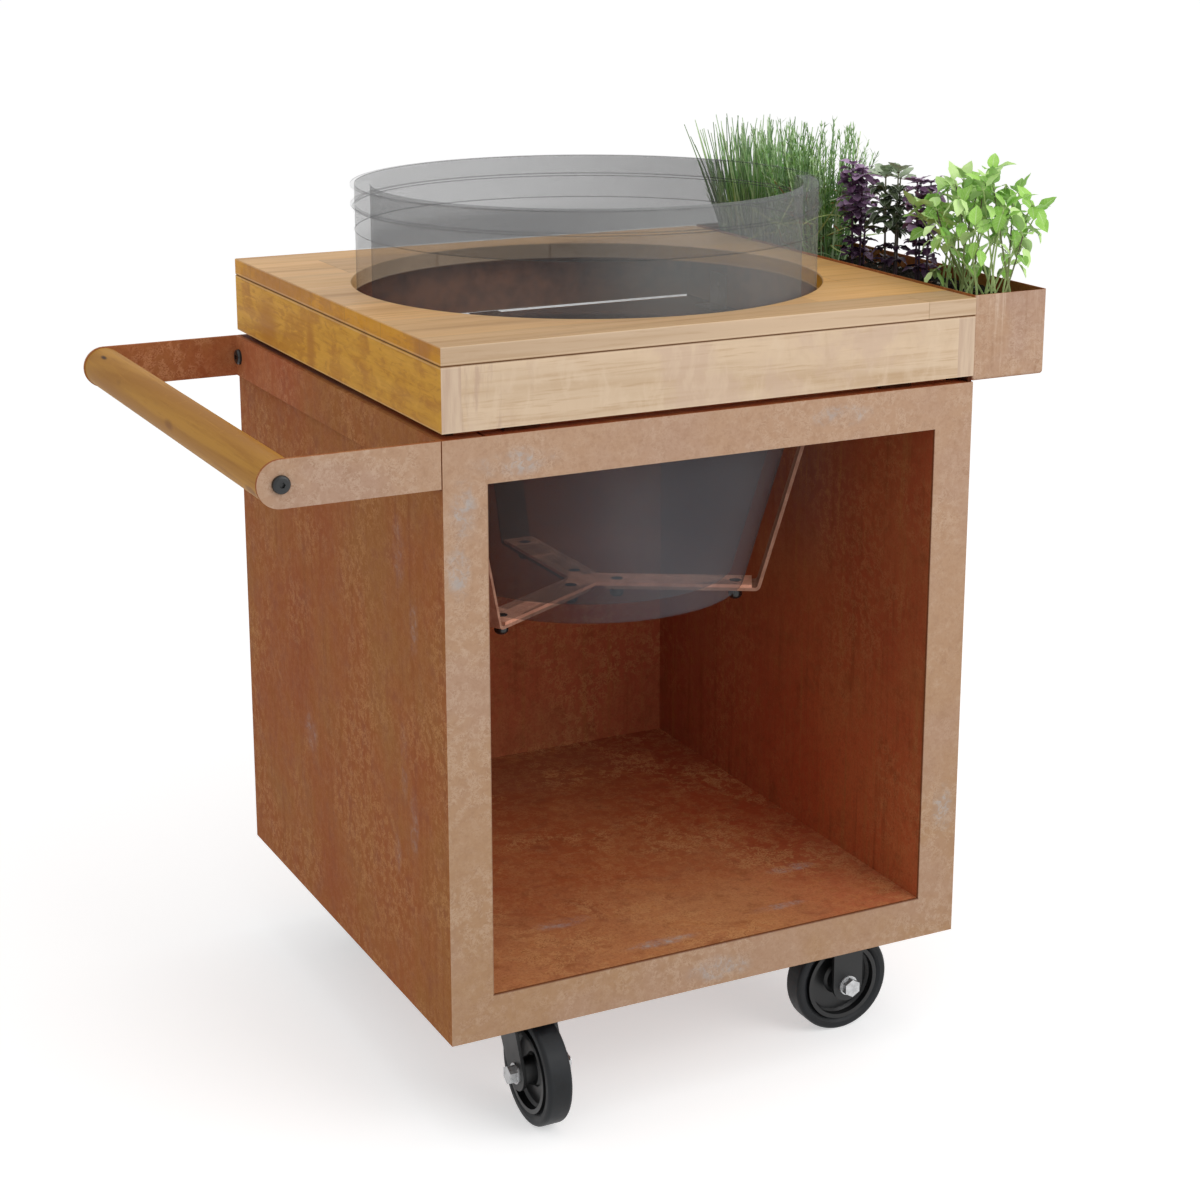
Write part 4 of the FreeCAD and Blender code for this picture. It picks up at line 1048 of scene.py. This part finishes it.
def needles(growth, path):
    """Short needles that lie close to the upper part of a shoot."""
    draw = growth.between
    shade_of_shoot = draw(0.0, 0.35)
    for step in range(len(path) // 2 - 1, len(path) - 1):
        way = (path[step + 1] - path[step]).normalized()
        side = way.orthogonal().normalized()
        rise = step / len(path)
        for k in range(3):
            out = Matrix.Rotation(k * 2.1 + step * 1.3 + draw(-0.4, 0.4), 3, way) @ side
            needle_way = out * draw(0.25, 0.60) + way
            base = path[step] + way * draw(0, 0.008)
            tone = min(1.0, shade_of_shoot + 0.8 * rise * draw(0.5, 1.0))
            growth.leaf(base, needle_way, out, draw(0.007, 0.013), 0.0018, needle, droop=draw(-0.6, 0.4),
                        fold=0.4, steps=2, tone=tone)


def whorls(growth, path, start, end, step, leaves, size, width, shape, rise, droop, tone, kind=0):
    """Rings of leaves up a stem, each ring turned against the one below. Rise and droop are in radians."""
    draw = growth.between
    count = len(path) - 1
    spin = draw(0, 3.14)
    share = start
    while share <= end:
        at = min(int(share * count), count - 1)
        base = path[at].lerp(path[at + 1], share * count - at)
        way = (path[at + 1] - path[at]).normalized()
        side = way.orthogonal().normalized()
        for k in range(leaves):
            out = Matrix.Rotation(spin + 2 * math.pi * k / leaves + draw(-0.3, 0.3), 3, way) @ side
            slope = draw(*rise)
            leaf_way = out * math.cos(slope) + way * math.sin(slope)
            up = way * math.cos(slope) - out * math.sin(slope) + out.cross(way) * draw(-0.4, 0.4)
            length = draw(*size)
            foot = base + leaf_way * length * 0.12
            growth.stem([base, foot], 0.0008, 0.0006, sides=4)
            growth.leaf(foot, leaf_way, up, length, length * width, shape, droop=draw(*droop),
                        fold=draw(0.1, 0.4), wave=0.14, kind=kind, tone=draw(*tone))
        spin += math.pi / leaves + draw(-0.2, 0.2)
        share += step


def tower(growth, foot, height, spread, *rings):
    """Four upright stems close together, each with rings of leaves."""
    draw = growth.between
    paths = []
    for k in range(4):
        angle = 2 * math.pi * k / 4 + draw(-0.4, 0.4)
        offset = Vector((math.cos(angle) * spread, math.sin(angle) * spread, -0.003))
        lean = Vector((offset.x * 3, offset.y * 3, 1.0))
        paths.append(growth.arc(foot + offset, lean, height * draw(0.88, 1.0), Vector((0, 0, 0.2)), steps=10))
        growth.stem(paths[-1], 0.0016, 0.0009)
    for path in paths:
        for ring in rings:
            whorls(growth, path, *ring)


def purple_basil():
    """A tower of crinkled violet leaves at each side of the grey-green herb, lilac at the top."""
    growth = Growth("purple_basil_leaves", 37)
    middle, _, half_y, height = foot_of("purple_basil")
    tower_half = 0.029
    for end, size_factor in ((1, 1.0), (-1, 0.95)):
        tower(growth, middle + Vector((0, end * (half_y - tower_half), 0)), height * size_factor, 0.009,
              (0.16, 0.52, 0.12, 4, (0.015, 0.019), 0.66, ovate, (0.0, 0.7), (0.6, 1.2), (0, 0.35)),
              (0.58, 0.95, 0.09, 4, (0.016, 0.021), 0.78, oval, (-0.1, 0.6), (0.4, 1.1), (0.35, 1.0)),
              (0.99, 1.0, 0.5, 5, (0.015, 0.019), 0.66, ovate, (0.0, 0.7), (0.2, 0.7), (0.6, 1.0)))
    leaf = leaf_material("purple_leaf", (0.026, 0.007, 0.026), (0.12, 0.045, 0.12), (0.48, 0.32, 0.5),
                         (0.44, 0.28, 0.42), rib_strength=0.35, roughness=0.42)
    stalk = stalk_material("purple_stalk", (0.035, 0.015, 0.03), (0.11, 0.045, 0.09))
    growth.finish([leaf, stalk], "purple_leaf", "purple_basil")


def sage():
    """One tower of arching dark leaves with pale edges, under a rosette of pale grey-green ones."""
    growth = Growth("sage_leaves", 41)
    middle, _, _, height = foot_of("sage")
    tower(growth, middle, height * 1.04, 0.008,
          (0.16, 0.38, 0.12, 4, (0.016, 0.021), 0.52, ovate, (0.1, 0.7), (0.8, 1.4), (0, 0.4), 2),
          (0.44, 0.92, 0.098, 4, (0.023, 0.029), 0.48, oval, (0.3, 0.9), (1.0, 1.7), (0, 0.5)),
          (0.99, 1.0, 0.5, 6, (0.018, 0.023), 0.58, oval, (0.3, 0.9), (0.1, 0.6), (0.9, 1.0)))
    leaf = leaf_material("sage_leaf", (0.018, 0.03, 0.01), (0.06, 0.095, 0.03), (0.5, 0.6, 0.42),
                         (0.42, 0.5, 0.36), rib_strength=0.4, roughness=0.6, edge=(0.42, 0.48, 0.38))
    dark = leaf_material("sage_low_leaf", (0.022, 0.008, 0.022), (0.05, 0.02, 0.05), (0.16, 0.1, 0.16),
                         (0.2, 0.13, 0.2), rib_strength=0.3)
    stalk = stalk_material("sage_stalk", (0.05, 0.025, 0.035), (0.2, 0.2, 0.12))
    growth.finish([leaf, stalk, dark], "sage_leaf", "sage")


def crown_leaf(growth, base, out, size):
    """A broad pointed leaf that either hangs with its face outwards or stands up."""
    draw = growth.between
    hanging = draw(0, 1) < 0.5
    slope = draw(-1.0, -0.2) if hanging else draw(0.4, 1.3)
    way = out * math.cos(slope) + Vector((0, 0, math.sin(slope)))
    face = out * (0.8 if hanging else -0.6) + Vector((0, 0, 0.6))
    face += Vector((draw(-0.5, 0.5), draw(-0.5, 0.5), draw(-0.3, 0.3)))
    foot = base + way * size * 0.22
    growth.stem([base, foot], 0.0008, 0.0006, sides=4)
    growth.leaf(foot, way, face, size, size * draw(0.60, 0.72), ovate, droop=draw(0.1, 0.8),
                fold=draw(0.08, 0.35), wave=0.10, steps=7)


def green_basil():
    """Thin crossing stems with bright pointed leaves in a broad crown."""
    growth = Growth("green_basil_leaves", 53)
    draw = growth.between
    middle, half_x, half_y, height = foot_of("green_basil")
    crown_x = 0.071
    crown_y = 0.080
    crown_shift = -0.010
    crown_drop = 0.019
    stems = 27
    for k in range(stems):
        reach = math.sqrt((k + 0.5) / stems)
        out = Vector((math.cos(2.4 * k), math.sin(2.4 * k), 0))
        foot = middle + Vector((draw(-0.028, 0.010), out.y * 0.055 + draw(-0.012, 0.012), -0.003))
        top = height * (1.0 - 0.32 * reach * reach) * draw(0.78, 1.0) - crown_drop
        aim = middle + Vector((out.x * reach * crown_x + crown_shift, out.y * reach * crown_y, top))
        bend = Vector((draw(-0.35, 0.35), draw(-0.35, 0.35), 0.0))
        path = growth.arc(foot, aim - foot - bend * top * 0.5, (aim - foot).length, bend, steps=9)
        growth.stem(path, 0.0014, 0.0008, kind=growth.random.choice((1, 1, 2)))
        for at, leaves, size in ((6, 1, 0.019), (7, 2, 0.022), (8, 2, 0.022), (9, 4, 0.023)):
            for turn in range(leaves):
                spin = draw(-0.9, 0.9) + turn * 2 * math.pi / leaves
                way = Matrix.Rotation(spin, 3, "Z") @ out
                crown_leaf(growth, path[at], way, size * draw(0.85, 1.15))
    for k in range(9):
        foot, x, y = in_clump(growth, middle, half_x, half_y, 0.5)
        path = growth.arc(foot, Vector((x, y, 1.2)), height * draw(0.2, 0.34), Vector((0, 0, 0.2)), steps=4)
        growth.stem(path, 0.0010, 0.0006)
        for turn in range(3):
            way = Matrix.Rotation(turn * 2.1 + k, 3, "Z") @ Vector((1, 0, 0))
            crown_leaf(growth, path[-1], way, draw(0.014, 0.024))
    leaf = leaf_material("green_basil_leaf", (0.19, 0.42, 0.05), (0.4, 0.73, 0.13), (0.68, 0.9, 0.39),
                         (0.76, 0.92, 0.54), roughness=0.45, under=(0.48, 0.73, 0.28))
    stalk = stalk_material("green_basil_stalk", (0.46, 0.6, 0.24), (0.3, 0.42, 0.14))
    brown = stalk_material("green_basil_old_stalk", (0.32, 0.4, 0.14), (0.09, 0.07, 0.05))
    growth.finish([leaf, stalk, brown], "basil_leaf", "green_basil")


def soil():
    """Crumbly dark compost with flecks of white grit and bark."""
    low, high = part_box("soil")
    chance = random.Random(5)
    step = 0.004
    columns = round((high[0] - low[0]) / step)
    rows = round((high[1] - low[1]) / step)
    points = []
    faces = []
    for j in range(rows + 1):
        for i in range(columns + 1):
            edge = i in (0, columns) or j in (0, rows)
            x = low[0] + (high[0] - low[0]) * i / columns
            y = low[1] + (high[1] - low[1]) * j / rows
            wave = 0.0025 * math.sin(x * 90 + 2 * math.sin(y * 40)) * math.sin(y * 55)
            z = high[2] + (0.0 if edge else wave + chance.uniform(-0.0022, 0.0022)) - 0.002
            points.append((x, y, z))
    width = columns + 1
    for j in range(rows):
        for i in range(columns):
            at = j * width + i
            faces.append((at, at + 1, at + 1 + width, at + width))
    rim = list(range(width)) + [j * width + columns for j in range(1, rows + 1)]
    rim += [rows * width + i for i in range(columns - 1, -1, -1)]
    rim += [j * width for j in range(rows - 1, 0, -1)]
    skirt = len(points)
    points += [(points[i][0], points[i][1], low[2]) for i in rim]
    for k in range(len(rim)):
        after = (k + 1) % len(rim)
        faces.append((rim[after], rim[k], skirt + k, skirt + after))
    faces.append(tuple(range(len(points) - 1, skirt - 1, -1)))
    kinds = [0] * len(faces)
    for _ in range(900):
        kind = chance.choice((0, 0, 0, 0, 1, 2))
        size = chance.uniform(0.0008, 0.0032) * (0.6 if kind == 1 else 1.0)
        stretch = (2.2, 0.8, 0.6) if kind == 2 else (1, 1, 1)
        x = chance.uniform(low[0] + 0.005, high[0] - 0.005)
        y = chance.uniform(low[1] + 0.005, high[1] - 0.005)
        add_crumb(points, faces, Vector((x, y, high[2] - 0.001)), size, Vector(stretch), chance)
        kinds += [kind] * 8
    add_piece("soil_bed", points, faces, kinds, soil_materials(), "soil", "soil")


def add_crumb(points, faces, centre, size, stretch, chance):
    """A small uneven lump with eight faces."""
    turn = Matrix.Rotation(chance.uniform(0, 6.28), 3, "Z")
    first = len(points)
    for way in ((1, 0, 0), (0, 1, 0), (-1, 0, 0), (0, -1, 0), (0, 0, 1), (0, 0, -1)):
        arm = Vector([a * b for a, b in zip(way, stretch)]) * size * chance.uniform(0.7, 1.3)
        points.append(tuple(centre + turn @ arm))
    for a, b in ((0, 1), (1, 2), (2, 3), (3, 0)):
        faces.append((first + a, first + b, first + 4))
        faces.append((first + b, first + a, first + 5))


def soil_materials():
    """Compost, white grit and bark chips."""
    compost = Look("compost", roughness=0.95, specular=0.1)
    grain = compost.noise(260, 5, 0.7)
    tones = ((0.35, (0.007, 0.006, 0.005)), (0.6, (0.022, 0.018, 0.013)), (0.8, (0.045, 0.04, 0.028)))
    compost.give("Base Color", compost.ramp(grain, *tones))
    compost.bump(grain, 0.0015, 0.9)
    materials = [compost.material]
    for name, roughness, scale, low, high in (
            ("white_grit", 0.8, 300, (0.3, 0.31, 0.28), (0.55, 0.56, 0.52)),
            ("bark_chips", 0.85, 200, (0.05, 0.022, 0.012), (0.15, 0.06, 0.03))):
        look = Look(name, roughness=roughness, specular=0.2)
        look.give("Base Color", look.ramp(look.noise(scale), (0.4, low), (0.6, high)))
        materials.append(look.material)
    return materials


add_camera()
set_world()
add_area_light("key", *key_light)
add_area_light("top", *top_light)
add_floor()
dress_steel()
dress_wood()
dress_small_parts()
gap_shade_strips()
shade(ghost("ghost_bowl", bowl_tone, bowl_opacity), "cooker_bowl")
shade(ghost("ghost_bands", band_tone, band_opacity), "bowl_bands")
soil()
chives()
rosemary()
purple_basil()
sage()
green_basil()

bpy.context.scene.view_settings.view_transform = "Standard"
